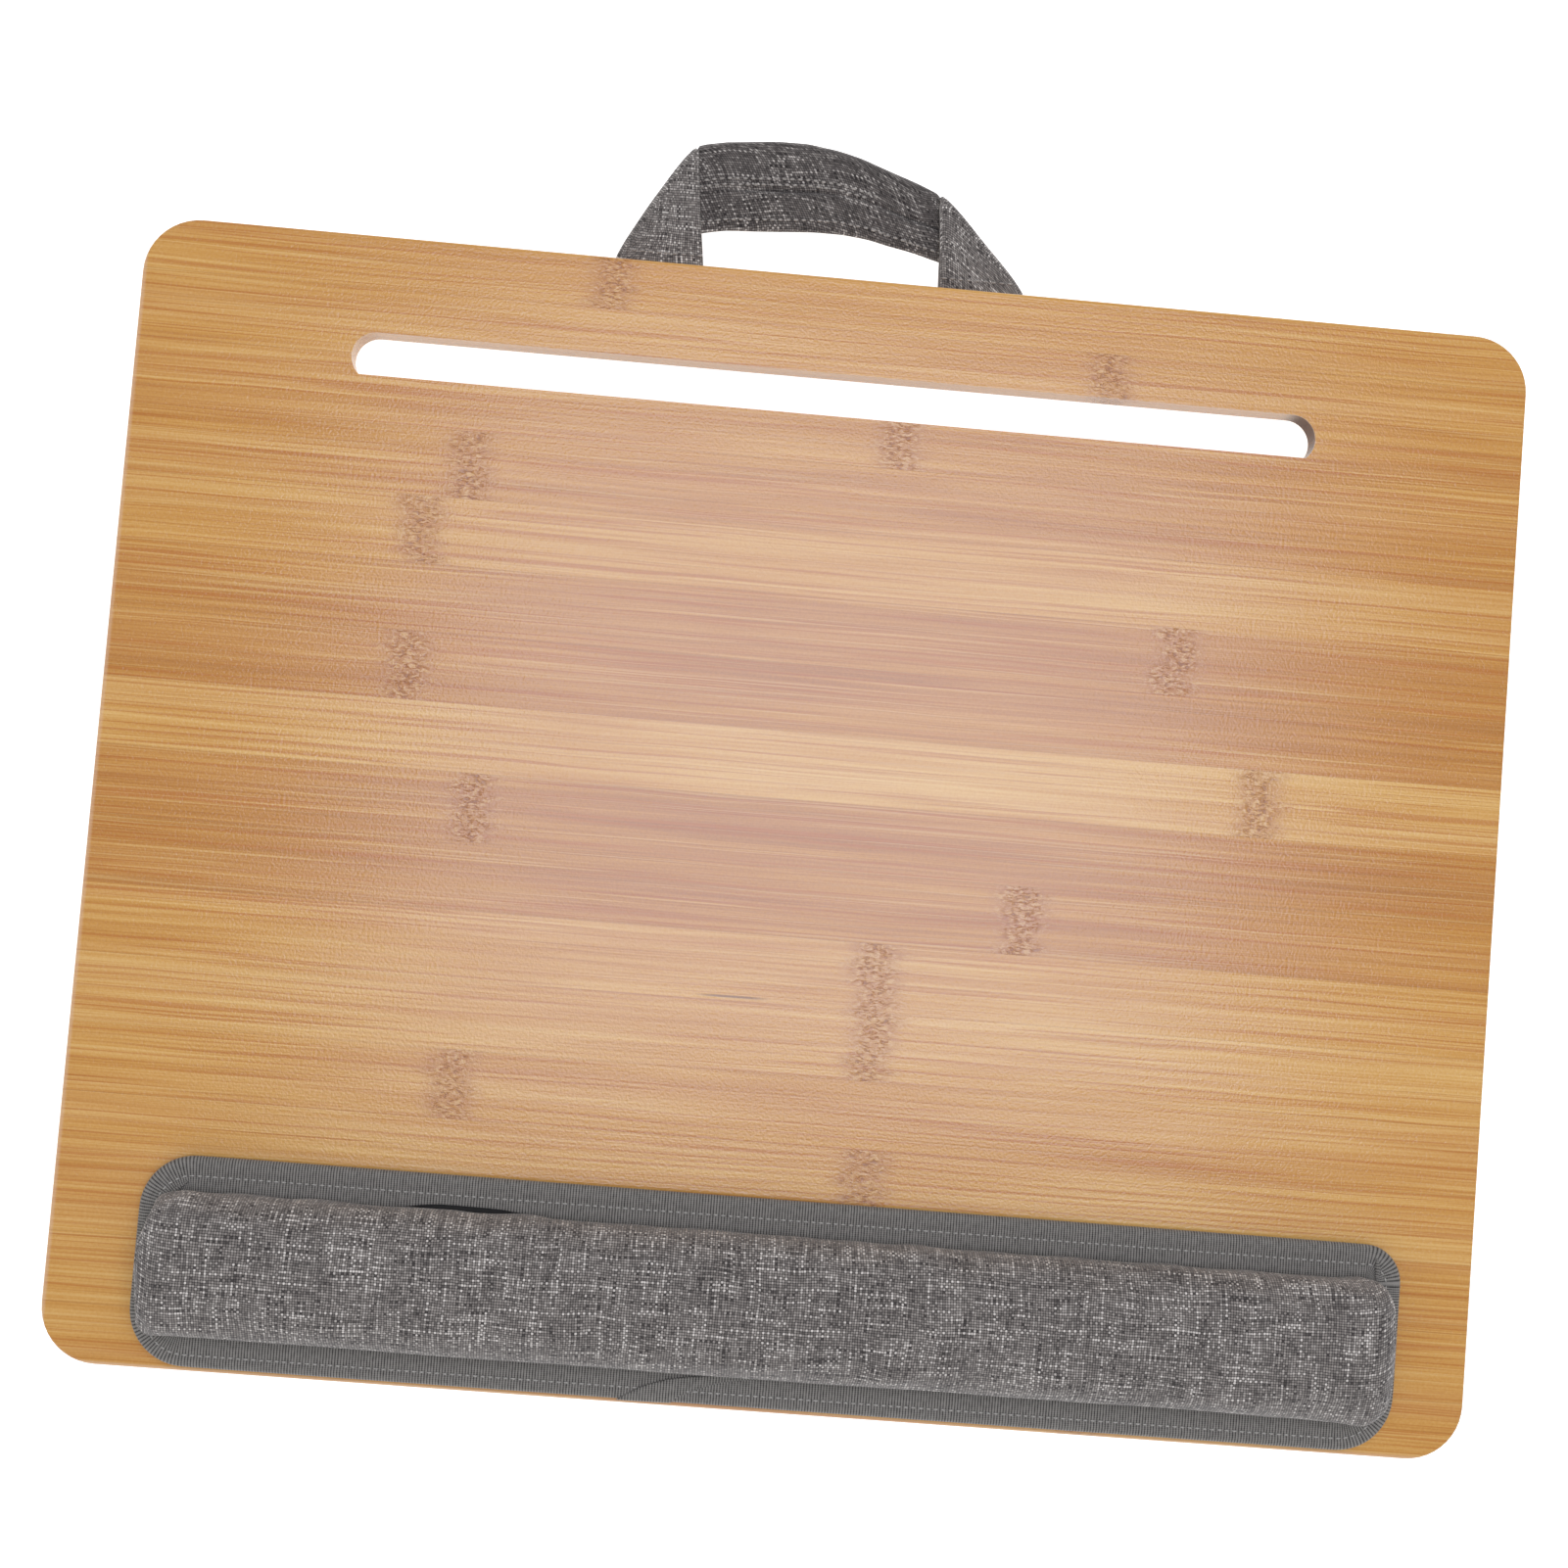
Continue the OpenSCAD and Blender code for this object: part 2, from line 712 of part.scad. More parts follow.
module zip_chain() {
    color(black_nylon) on_board() translate([-zip_len / 2, rear_y, zip_z - chain_h / 2])
        cube([zip_len, chain_t, chain_h]);
}

module zip_stops() {
    color(steel) on_board() for (x = [-zip_len / 2 - stop_len, zip_len / 2])
        translate([x, rear_y, zip_z - chain_h / 2]) cube([stop_len, chain_t, chain_h]);
}

// Slider that caps the chain, with two posts and the pin that the pull turns on
module zip_slider() {
    post_y = rear_y + slider_in + slider_wall;
    post_h = pin_y + pin_r - post_y;
    color(steel) on_board() translate([slider_home, 0, zip_z]) {
        difference() {
            translate([-slider_len / 2, rear_y + slide_clear, -slider_h / 2])
                cube([slider_len, slider_in + slider_wall - slide_clear, slider_h]);
            translate([-slider_len / 2 - 1, rear_y - 1, -slider_h / 2 + slider_wall])
                cube([slider_len + 2, slider_in + 1, slider_h - 2 * slider_wall]);
        }
        for (s = [-1, 1])
            translate([-pin_r, post_y, s * (eye_h / 2 + pin_clear + post_w / 2) - post_w / 2])
                cube([2 * pin_r, post_h, post_w]);
        translate([0, pin_y, -eye_h / 2 - pin_clear]) cylinder(h = eye_h + 2 * pin_clear, r = pin_r);
    }
}

// Pull tab with the eye that hangs on the slider's pin
module zip_pull() {
    color(steel) on_board() translate([slider_home, pin_y, zip_z]) difference() {
        union() {
            translate([0, 0, -eye_h / 2]) cylinder(h = eye_h, r = eye_r);
            translate([0, -pull_t / 2, -eye_h / 2]) cube([eye_r + 3, pull_t, eye_h]);
            translate([eye_r + 2, -pull_t / 2, -pull_h / 2])
                cube([pull_len - eye_r - 2 - pull_h / 2, pull_t, pull_h]);
            translate([pull_len - pull_h / 2, pull_t / 2, 0]) rotate([90, 0, 0])
                cylinder(h = pull_t, r = pull_h / 2);
        }
        translate([0, 0, -eye_h / 2 - 1]) cylinder(h = eye_h + 2, r = pin_r + pin_clear);
    }
}

board();
handle_foot_left();
handle_foot_right();
handle_washers();
handle_screws();
handle_loop();
board_loop_pads();
wrist_hook_pads();
wrist_backing();
wrist_stiffener();
wrist_binding();
wrist_foam();
wrist_cover();
cushion_top_panel();
cushion_side_band();
cushion_foam_slab();
cushion_bottom_panel();
cushion_piping();
bolster_cover_left();
bolster_cover_right();
bolster_filling_left();
bolster_filling_right();
zip_tape();
zip_chain();
zip_stops();
zip_slider();
zip_pull();
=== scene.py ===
# %% [markdown]
# # A lap desk, dressed piece by piece
#
# The object is a flat bamboo board that stands on a fabric cushion with two bolsters. A padded
# wrist rest lies along its front edge, a slot for a phone or tablet runs along its rear edge,
# and a folded fabric strap is the carry handle. The imported model already holds every size, so
# this lesson only gives the pieces their looks. It starts by loading that model as a fixed
# frame, in metres.

# %% The frame and its box
import math

import bmesh
import bpy
from mathutils import Euler, Matrix, Vector, noise


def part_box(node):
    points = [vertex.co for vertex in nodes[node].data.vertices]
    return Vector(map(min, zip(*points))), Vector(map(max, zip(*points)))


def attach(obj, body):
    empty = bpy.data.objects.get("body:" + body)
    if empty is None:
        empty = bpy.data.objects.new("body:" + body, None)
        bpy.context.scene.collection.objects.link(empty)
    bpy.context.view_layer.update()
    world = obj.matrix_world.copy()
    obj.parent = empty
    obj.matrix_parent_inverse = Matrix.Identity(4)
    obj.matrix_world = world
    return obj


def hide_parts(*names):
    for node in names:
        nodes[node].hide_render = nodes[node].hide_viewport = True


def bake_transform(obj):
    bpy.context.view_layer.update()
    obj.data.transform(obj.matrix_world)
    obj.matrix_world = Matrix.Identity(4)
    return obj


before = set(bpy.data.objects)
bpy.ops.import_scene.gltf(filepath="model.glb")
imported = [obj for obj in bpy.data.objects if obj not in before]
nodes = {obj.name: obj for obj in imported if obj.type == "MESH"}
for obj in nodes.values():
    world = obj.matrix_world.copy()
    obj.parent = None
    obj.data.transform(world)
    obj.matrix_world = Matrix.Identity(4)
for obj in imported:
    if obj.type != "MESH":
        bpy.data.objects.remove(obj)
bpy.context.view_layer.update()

scene = bpy.context.scene
MM = 0.001
UP = Vector((0, 0, 1))
noise.seed_set(1)


# %% [markdown]
# ## Camera
#
# The photograph looks almost straight down on the board from about 0.6 m, turned by nearly five
# degrees, so the desk lies a little askew in the picture. The place and the turn come from a fit
# of the board's corners and the slot, and the lens from the way the sides draw together.

# %% Camera
eye = bpy.data.cameras.new("camera")
eye.lens = 49.47
eye.sensor_width = 36.0
eye.sensor_fit = "HORIZONTAL"
eye.clip_start = 0.01
camera = bpy.data.objects.new("camera", eye)
camera.location = (-0.02828, -0.03967, 0.67371)
camera.rotation_euler = Euler([math.radians(a) for a in (2.908, -2.2985, 4.6184)])
scene.collection.objects.link(camera)
scene.camera = camera
print("camera height over the floor:", round(camera.location.z, 3), "m")

# %% [markdown]
# ## Floor and light
#
# The photograph is a studio picture on white. A pale floor that glows a little keeps the
# shadows faint, a bright surround lights every side, and one softbox over the board gives the
# broad satin sheen in the middle of the varnish. An area light is the right tool for that,
# because its reflection has soft edges.

# %% Colours as a designer writes them
def colour(code):
    """A colour such as d3a46c as the linear numbers that shaders work with."""
    parts = [int(code[i:i + 2], 16) / 255 for i in (0, 2, 4)]
    return tuple(c / 12.92 if c < 0.04045 else ((c + 0.055) / 1.055) ** 2.4 for c in parts) + (1.0,)


print("bamboo's middle tone:", [round(c, 2) for c in colour("ce9849")])


# %% A short way to add nodes to a finish
def set_inputs(made, inputs):
    """Wires a socket to an input, or writes a number into it."""
    for name, value in inputs.items():
        if isinstance(value, bpy.types.NodeSocket):
            made.id_data.links.new(value, made.inputs[name])
        else:
            made.inputs[name].default_value = value


def node(tree, kind, inputs=None, **settings):
    """Adds a shader node, sets it up and wires its inputs."""
    made = tree.nodes.new("ShaderNode" + kind)
    for name, value in settings.items():
        setattr(made, name, value)
    set_inputs(made, inputs or {})
    return made


def new_finish(name):
    """A material with its node tree and its main shader."""
    finish = bpy.data.materials.new(name)
    finish.use_nodes = True
    return finish, finish.node_tree, finish.node_tree.nodes["Principled BSDF"]


# %% Floor
FLOOR_RADIUS = 6.0
floor_finish, _, shader = new_finish("pale_floor")
set_inputs(shader, {
    "Base Color": (0.8, 0.8, 0.8, 1), "Roughness": 0.9,
    "Emission Color": (1, 1, 1, 1), "Emission Strength": 0.85,
})
bm = bmesh.new()
bmesh.ops.create_circle(bm, cap_ends=True, segments=64, radius=FLOOR_RADIUS)
mesh = bpy.data.meshes.new("floor")
bm.to_mesh(mesh)
bm.free()
mesh.materials.append(floor_finish)
floor = bpy.data.objects.new("floor", mesh)
scene.collection.objects.link(floor)
print("floor: a disc of", 2 * FLOOR_RADIUS, "m")

# %% Light
SURROUND_STRENGTH = 0.5
surround = bpy.data.worlds.new("surround")
surround.use_nodes = True
background = surround.node_tree.nodes["Background"]
set_inputs(background, {"Color": (1.0, 0.985, 0.965, 1), "Strength": SURROUND_STRENGTH})
scene.world = surround
scene.view_settings.view_transform = "Standard"


def softbox(name, place, target, width, depth, watts, tint):
    lamp = bpy.data.lights.new(name, "AREA")
    lamp.shape = "RECTANGLE"
    lamp.size = width
    lamp.size_y = depth
    lamp.energy = watts
    lamp.color = tint
    made = bpy.data.objects.new(name, lamp)
    made.location = place
    made.rotation_euler = (Vector(target) - Vector(place)).to_track_quat("-Z", "Y").to_euler()
    scene.collection.objects.link(made)


softbox("softbox_over_board", (0.07, 0.1, 1.25), (0.07, 0.099, 0), 0.76, 0.7, 7.4, (0.92, 0.91, 1.0))
softbox("softbox_front", (-0.5, -1.5, 1.1), (0, 0, 0.03), 1.2, 1.2, 3.0, (1, 1, 1))
print("surround:", SURROUND_STRENGTH, "softboxes: 2")

# %% [markdown]
# ## Bamboo
#
# The board is pressed from flat bamboo strips, each 19.4 mm wide and as long as the board. Each
# strip has its own tone, long fine fibres, a few darker streaks, and a node: the ring of the
# cane, where the fibres swirl for a centimetre. A picture would be one way to get this, but a
# procedural finish stays sharp at any distance and wraps round the edges by itself. It reads
# Object coordinates, which are metres on the frame, so a strip lies where the real one does.

# %% Helpers for sums in a finish
def maths(operation, *values):
    """A sum in the node tree that the sockets among the values belong to."""
    tree = next(v for v in values if isinstance(v, bpy.types.NodeSocket)).id_data
    return node(tree, "Math", dict(enumerate(values)), operation=operation).outputs[0]


def times(a, b):
    return maths("MULTIPLY", a, b)


def scaled(value, factor, more):
    """The value times a factor, plus something more."""
    return maths("MULTIPLY_ADD", value, factor, more)


def swayed(value, wave, amount):
    """The value, moved up and down by a noise that runs from 0 to 1."""
    return scaled(maths("SUBTRACT", wave, 0.5), amount, value)


def distance(value, middle):
    return maths("ABSOLUTE", maths("SUBTRACT", value, middle))


def limits(value, low, high, to_low=0.0, to_high=1.0):
    """Maps a range of a value to another one, softly at both ends."""
    inputs = {"Value": value, "From Min": low, "From Max": high, "To Min": to_low, "To Max": to_high}
    return node(value.id_data, "MapRange", inputs, interpolation_type="SMOOTHSTEP").outputs[0]


# %% Helpers for noise, colour and relief in a finish
def join(x, y=0.0, z=0.0):
    return node(x.id_data, "CombineXYZ", {"X": x, "Y": y, "Z": z}).outputs[0]


def speckle(vector, scale=1.0, detail=2.0, roughness=0.5):
    inputs = {"Vector": vector, "Scale": scale, "Detail": detail, "Roughness": roughness}
    return node(vector.id_data, "TexNoise", inputs).outputs["Fac"]


def ramp(share, stops, interpolation="LINEAR"):
    """Colours along a scale from 0 to 1. A stop is a place and a colour code or a grey."""
    made = node(share.id_data, "ValToRGB", {"Fac": share})
    made.color_ramp.interpolation = interpolation
    elements = made.color_ramp.elements
    while len(elements) < len(stops):
        elements.new(1.0)
    for element, (place, tone) in zip(elements, stops):
        element.position = place
        element.color = colour(tone) if isinstance(tone, str) else (tone, tone, tone, 1)
    return made.outputs["Color"]


def mix_colours(share, a, b):
    return node(share.id_data, "Mix", {0: share, 6: a, 7: b}, data_type="RGBA").outputs[2]


def set_surface(shader, tone, roughness, height, strength, depth, others):
    """Gives the main shader its colour, its gloss, its relief and its other inputs."""
    bump = node(shader.id_data, "Bump", {"Strength": strength, "Distance": depth, "Height": height})
    set_inputs(shader, {"Base Color": tone, "Roughness": roughness, "Normal": bump.outputs[0], **others})


# %% The strips of the board, from rear to front: their tones, and their nodes' places in mm
STRIP = 0.01941
REAR_GLUE_LINE = 0.12486
BOARD_WIDTH_MM = 400
strip_tones = [
    0.62, 0.65, 0.53, 0.53, 0.62, 0.46, 0.35, 0.76, 0.37, 0.39, 0.67, 0.73, 0.61, 0.7, 0.59, 0.62, 0.6,
]
strip_knots = [-67, 78, 19, -103, -115, 103, -116, 130, -94, 64, 24, 24, -93, 25, 150, -60, 90]


def per_strip(index, values):
    """A value that is the same along one strip."""
    count = len(values)
    place = maths("DIVIDE", maths("ADD", index, 1.5), count)
    return ramp(place, [(i / count, v) for i, v in enumerate(values)], "CONSTANT")


print("strips:", len(strip_tones))


# %% Bamboo finish
def bamboo_finish():
    finish, tree, shader = new_finish("bamboo")
    place = node(tree, "TexCoord").outputs["Object"]
    x, y, z = node(tree, "SeparateXYZ", {"Vector": place}).outputs
    strip = maths("DIVIDE", maths("SUBTRACT", REAR_GLUE_LINE, y), STRIP)
    index, across = maths("FLOOR", strip), maths("FRACT", strip)
    start = times(index, 5.37)
    knots = [(k + BOARD_WIDTH_MM / 2) / BOARD_WIDTH_MM for k in strip_knots]
    knot_x = scaled(per_strip(index, knots), 0.4, -0.2)

    def streaks(along, width, offset, detail=2.0, side=y):
        """Noise drawn out along X. Along and width are how many features a metre holds."""
        v = join(scaled(x, along, start), scaled(side, width, offset), times(z, width))
        return speckle(v, 1.0, detail, 0.6)

    # The node: a patch with ragged ends, in which the fibres swirl
    reach = maths("ABSOLUTE", swayed(maths("SUBTRACT", x, knot_x), streaks(30, 330, 3, 4.0), 0.016))
    knot = limits(reach, 0.0105, 0.003)
    core = limits(reach, 0.007, 0.0015)
    swirl = maths("SUBTRACT", streaks(380, 900, 17, 3.0), 0.5)
    shift = swayed(times(times(swirl, knot), 0.0042), streaks(9, 40, 51), 0.0022)
    fibre_y = maths("ADD", y, shift)

    # Tone: the strip's own, its slow changes, and fine fibres
    fine = streaks(9, 1900, 0, 3.0, fibre_y)
    middle = streaks(14, 800, 23, 2.0, fibre_y)
    grain = speckle(place, 1300.0)
    broad = streaks(3, 170, 31, 2.0, fibre_y)
    cloud = streaks(7, 55, 5, 1.0)
    shade = per_strip(index, strip_tones)
    for wave, amount in ((fine, 0.75), (broad, 0.3), (middle, 0.6), (grain, 0.35), (cloud, 0.5)):
        shade = swayed(shade, wave, amount)
    flesh = ramp(shade, [(0.0, "a96f2d"), (0.35, "c0863b"), (0.6, "ce9849"), (1.0, "e1b76e")])
    rosy = ramp(shade, [(0.0, "a9703c"), (0.35, "c28a4c"), (0.6, "d19d5f"), (1.0, "e3bd7d")])
    flesh = mix_colours(limits(streaks(4, 120, 63), 0.42, 0.62, 0.0, 0.3), flesh, rosy)

    def painted(share, code):
        return mix_colours(share, flesh, colour(code))

    # Darker and paler lines of fibres
    for along, width, offset, low, high, share, code in (
        (6, 1000, 40, 0.56, 0.6, 0.5, "b4681f"), (9, 1700, 77, 0.55, 0.66, 0.34, "ae6c26"),
        (7, 1300, 99, 0.58, 0.65, 0.3, "ebca84"),
    ):
        line = limits(streaks(along, width, offset, 2.0, fibre_y), low, high, 0.0, share)
        flesh = painted(line, code)

    # Short dashes in the node, over a faint blot
    flesh = painted(times(knot, 0.5), "b07641")
    dashes = streaks(430, 1700, 13, 2.0, scaled(swirl, 0.0026, y))
    dark_dash = times(limits(dashes, 0.52, 0.64), core)
    pale_dash = times(limits(dashes, 0.48, 0.36), knot)
    flesh = painted(times(dark_dash, 0.6), "885225")
    flesh = painted(times(pale_dash, 0.42), "e5c180")

    # The rounded left and front rims are painted paler and pinker: a painted highlight along the edge
    rim = maths("MAXIMUM", limits(x, -0.1983, -0.1993), limits(y, -0.1814, -0.1824))
    flesh = painted(times(rim, 0.5), "e0bc9c")

    # The wall at the slot's right end is painted dark, as painted shade, and its gloss is lowered
    inside = times(limits(z, 0.0629, 0.0622), maths("LESS_THAN", maths("ABSOLUTE", x), 0.1418))
    near_slot = maths("LESS_THAN", distance(y, 0.1059), 0.0074)
    slot_end_painted_shade = times(times(inside, near_slot), limits(x, 0.128, 0.135))
    flesh = painted(slot_end_painted_shade, "6a4526")

    # Glue lines, and one short crack in front of the middle
    flesh = painted(limits(distance(across, 0.5), 0.488, 0.499, 0.0, 0.3), "9f6c31")
    crack = times(
        limits(distance(fibre_y, -0.0681), 0.0005, 0.0001), limits(distance(x, -0.016), 0.012, 0.004)
    )
    flesh = painted(times(crack, 0.7), "6c4421")

    # Satin varnish: fine grain in its gloss and its surface
    gloss = scaled(grain, 0.08, scaled(fine, 0.08, 0.1))
    relief = maths("SUBTRACT", scaled(fine, 0.6, times(grain, 2.0)), times(dark_dash, 1.2))
    set_surface(shader, flesh, gloss, relief, 0.6, 0.00006, {
        "IOR": 1.59, "Specular Tint": (0.62, 0.78, 1.0, 1.0),
        "Specular IOR Level": scaled(slot_end_painted_shade, -0.45, 0.5),
    })
    return finish


def redress(name, finish):
    """Gives a CAD node that keeps its shape its new finish."""
    nodes[name].data.materials.clear()
    nodes[name].data.materials.append(finish)


bamboo = bamboo_finish()
redress("board", bamboo)
print("board dressed,", len(bamboo.node_tree.nodes), "nodes in its finish")

# %% [markdown]
# ## Cloth
#
# The covers are a grey melange: a plain weave of light and dark yarns, so it looks speckled from
# near and grey from far. Yarns of uneven thickness leave light lines in both directions. The
# finish builds the weave from the piece's own UV map, which is laid out in metres, so a yarn is
# 0.72 mm wide on every piece and follows its shape.

# %% Woven finish
YARN = 0.00072


def ridges(value, width=1.0):
    """Round ridges side by side, each of a width."""
    return maths("ABSOLUTE", maths("SINE", times(value, math.pi / width)))


def woven_finish(name, tones, speckles=1.0):
    finish, tree, shader = new_finish(name)

    def vectors(operation, inputs):
        return node(tree, "VectorMath", inputs, operation=operation).outputs[0]

    cloth = node(tree, "UVMap", uv_map="cloth").outputs[0]
    uneven = node(tree, "TexNoise", {"Vector": cloth, "Scale": 90.0, "Detail": 1.0}).outputs["Color"]
    uneven = vectors("ADD", {0: uneven, 1: (-0.5, -0.5, -0.5)})
    count = vectors("SCALE", {0: cloth, "Scale": 1 / YARN})
    count = vectors("MULTIPLY_ADD", {0: uneven, 1: (1.6, 1.6, 0), 2: count})
    u, v, _ = node(tree, "SeparateXYZ", {"Vector": count}).outputs
    warp, weft = maths("FLOOR", u), maths("FLOOR", v)
    over = node(tree, "TexChecker", {"Vector": join(u, v, 0.5), "Scale": 1.0}).outputs["Fac"]

    # Each yarn has its own tone, which changes slowly along it: some stretches are pale slubs
    warp_tone = speckle(join(times(warp, 0.83), times(v, 0.045), 0.0))
    weft_tone = speckle(join(times(weft, 0.83), times(u, 0.045), 9.0))
    yarn_tone = node(tree, "Mix", {0: over, 2: weft_tone, 3: warp_tone}).outputs[0]
    single = node(tree, "TexWhiteNoise", {"Vector": join(warp, weft)}, noise_dimensions="2D").outputs["Value"]
    tone = scaled(limits(yarn_tone, 0.52, 0.7), 0.62, 0.4)
    tone = scaled(limits(yarn_tone, 0.47, 0.32), -0.3, tone)
    tone = swayed(tone, single, 0.42 * speckles)
    tone = swayed(tone, speckle(count, 0.06), 0.2)
    yarn_colour = ramp(tone, [(0.0, tones[0]), (0.5, tones[1]), (1.0, tones[2])])

    # Each yarn is round, and dives under its neighbour. The low places between yarns are painted near-black:
    # painted shade
    height = maths("POWER", times(ridges(u), ridges(v)), 0.45)
    gap = limits(height, 0.15, 0.85, 0.95, 0.0)
    yarn_colour_painted_shade = mix_colours(gap, yarn_colour, colour("1c1b1e"))
    set_surface(shader, yarn_colour_painted_shade, scaled(single, 0.15, 0.8), height, 0.6, 0.00022, {
        "Sheen Weight": 0.25, "Sheen Roughness": 0.5, "Specular IOR Level": 0.25,
    })
    return finish


melange = woven_finish("melange_cloth", ("454140", "928d89", "dcd8d3"))
# A darker copy of the melange for the strap's under side: painted shade
melange_painted_shade = woven_finish("melange_painted_shade", ("2e2a29", "706b68", "c0bbb6"))
dark_cloth = woven_finish("dark_cloth", ("2e2c2c", "595654", "8b8886"), speckles=0.6)
print("cloth finishes:", melange.name, melange_painted_shade.name, dark_cloth.name)


# %% Ribbed finish, for tapes
def ribbed_finish(name, light, dark, rib):
    """Ribs run across a tape: the UV map's second number counts them."""
    finish, tree, shader = new_finish(name)
    cloth = node(tree, "UVMap", uv_map="cloth").outputs[0]
    u, v, _ = node(tree, "SeparateXYZ", {"Vector": cloth}).outputs
    height = scaled(ridges(u, rib * 0.7), 0.25, times(ridges(v, rib), 0.9))
    uneven = speckle(cloth, 700.0, 3.0)
    # The valleys between the ribs are painted near-black and the crests pale: painted shade
    tone = ramp(swayed(times(height, 0.9), uneven, 0.6), [(0.12, dark), (1.0, light)])
    set_surface(shader, tone, scaled(uneven, 0.2, 0.65), height, 0.55, 0.00018, {
        "Sheen Weight": 0.2, "Specular IOR Level": 0.3,
    })
    return finish


grosgrain = ribbed_finish("grosgrain_tape", "8d8b87", "0e0d0d", 0.0008)
zip_cloth = ribbed_finish("zip_tape_cloth", "3a3a3d", "151517", 0.0006)
print("tape finishes:", grosgrain.name, zip_cloth.name)


# %% Thread, foam, hook and loop, metal and nylon
def plain_finish(name, light, dark, roughness, grain, metallic=0.0, relief=0.0001, detail=3.0):
    """A finish with fine grain in its colour, gloss and surface."""
    finish, tree, shader = new_finish(name)
    speck = speckle(node(tree, "TexCoord").outputs["Object"], grain, detail)
    tone = ramp(speck, [(0.3, dark), (0.7, light)])
    gloss = scaled(speck, 0.2, roughness - 0.1)
    set_surface(shader, tone, gloss, speck, 0.4, relief, {"Metallic": metallic})
    return finish


thread = plain_finish("grey_thread", "bcbbb7", "8a8986", 0.7, 2500.0)
dark_thread = plain_finish("dark_thread", "b3afab", "7a7673", 0.7, 2500.0)
foam = plain_finish("foam", "efeadb", "ddd6c3", 0.9, 900.0, relief=0.0005)
# The stiff sheet is near-black, so the gap between the tape and the roll reads dark: painted shade
painted_shade_sheet = plain_finish("painted_shade_sheet", "262626", "161616", 0.8, 900.0)
hooks = plain_finish("hook_tape", "3a3a3d", "121214", 0.5, 1600.0, relief=0.0006)
loops = plain_finish("loop_tape", "4a494d", "202022", 0.95, 1100.0, relief=0.0006, detail=6.0)
steel = plain_finish("steel", "c3c5c8", "9fa2a6", 0.32, 1400.0, metallic=1.0, relief=0.00002)
zip_metal = plain_finish("zip_metal", "a9abae", "85878a", 0.28, 900.0, metallic=1.0, relief=0.00002)
nylon = plain_finish("nylon_coil", "323236", "19191b", 0.35, 1500.0)
print("plain finishes:", thread.name, foam.name, loops.name, steel.name, nylon.name)

# %% [markdown]
# ## A loft by extrusion
#
# The strap, the wrist rest's roll, the tape and the bolsters are all cloth that keeps a similar
# section along a line. Each is made by extruding one row of points from place to place along
# that line, with one operator, so the faces stay even quads. The same helper lays the UV map.

# %% Loft
def extrude_row(bm, row, points, spans):
    """Extrudes a row of vertices once, and puts the new row at the points."""
    edges = [bm.edges.get((row[j], row[(j + 1) % len(row)])) for j in range(spans)]
    grown = set(bmesh.ops.extrude_edge_only(bm, edges=edges)["geom"])
    fresh = [next(e.other_vert(v) for e in v.link_edges if e.other_vert(v) in grown) for v in row]
    for vert, point in zip(fresh, points):
        vert.co = point
    return fresh


def lay_cloth(bm, rows, spans, own_length):
    """Gives every corner its place on the cloth: across the row, then along the rows."""
    layer = bm.loops.layers.uv.new("cloth")
    count = len(rows[0])
    along = [[0.0] * count]
    for a, b in zip(rows, rows[1:]):
        steps = [(q.co - p.co).length for p, q in zip(a, b)]
        mean = sum(steps) / count
        along.append([s + (step if own_length else mean) for s, step in zip(along[-1], steps)])
    across = []
    for row in rows:
        line = [0.0]
        for j in range(spans):
            line.append(line[-1] + (row[(j + 1) % count].co - row[j].co).length)
        across.append([s - line[-1] / 2 for s in line])
    for i in range(len(rows) - 1):
        for j in range(spans):
            k = (j + 1) % count
            spots = {
                rows[i][j]: (across[i][j], along[i][j]), rows[i][k]: (across[i][j + 1], along[i][k]),
                rows[i + 1][j]: (across[i + 1][j], along[i + 1][j]),
                rows[i + 1][k]: (across[i + 1][j + 1], along[i + 1][k]),
            }
            face = bm.faces.get([rows[i][j], rows[i][k], rows[i + 1][k], rows[i + 1][j]])
            for corner in face.loops:
                corner[layer].uv = spots[corner.vert]


def cap(bm, row):
    """Closes the end of a loft, with its cloth laid flat."""
    layer = bm.loops.layers.uv["cloth"]
    face = bm.faces.new(row)
    face.normal_update()
    side = UP if abs(face.normal.z) < 0.8 else Vector((1, 0, 0))
    other = face.normal.cross(side)
    for corner in face.loops:
        corner[layer].uv = (corner.vert.co.dot(other), corner.vert.co.dot(side))


def loft(rings, closed=True, own_length=False, capped=False, endless=False):
    """A skin through rings of points. It returns the bmesh and its rows of vertices."""
    if endless:
        rings = rings + [rings[0]]
    bm = bmesh.new()
    row = [bm.verts.new(p) for p in rings[0]]
    spans = len(row) if closed else len(row) - 1
    for j in range(spans):
        bm.edges.new((row[j], row[(j + 1) % len(row)]))
    rows = [row]
    for points in rings[1:]:
        rows.append(extrude_row(bm, rows[-1], points, spans))
    lay_cloth(bm, rows, spans, own_length)
    if capped:
        cap(bm, rows[0][::-1])
        cap(bm, rows[-1])
    if endless:
        bmesh.ops.remove_doubles(bm, verts=bm.verts, dist=1e-6)
    return bm, rows


END_PANEL_TILT = 0.66


def flat_ends(bm, axis):
    """Lays the cloth flat on the faces that look along an axis, like end panels."""
    layer = bm.loops.layers.uv["cloth"]
    bm.normal_update()
    for face in bm.faces:
        if abs(face.normal[axis]) > END_PANEL_TILT:
            for corner in face.loops:
                corner[layer].uv = (corner.vert.co[1 - axis], corner.vert.co.z)


# %% From bmesh to a piece
def add_to(bm, part):
    """Adds one bmesh to another and frees it."""
    whole = bpy.data.meshes.new("part")
    part.to_mesh(whole)
    part.free()
    bm.from_mesh(whole)
    bpy.data.meshes.remove(whole)


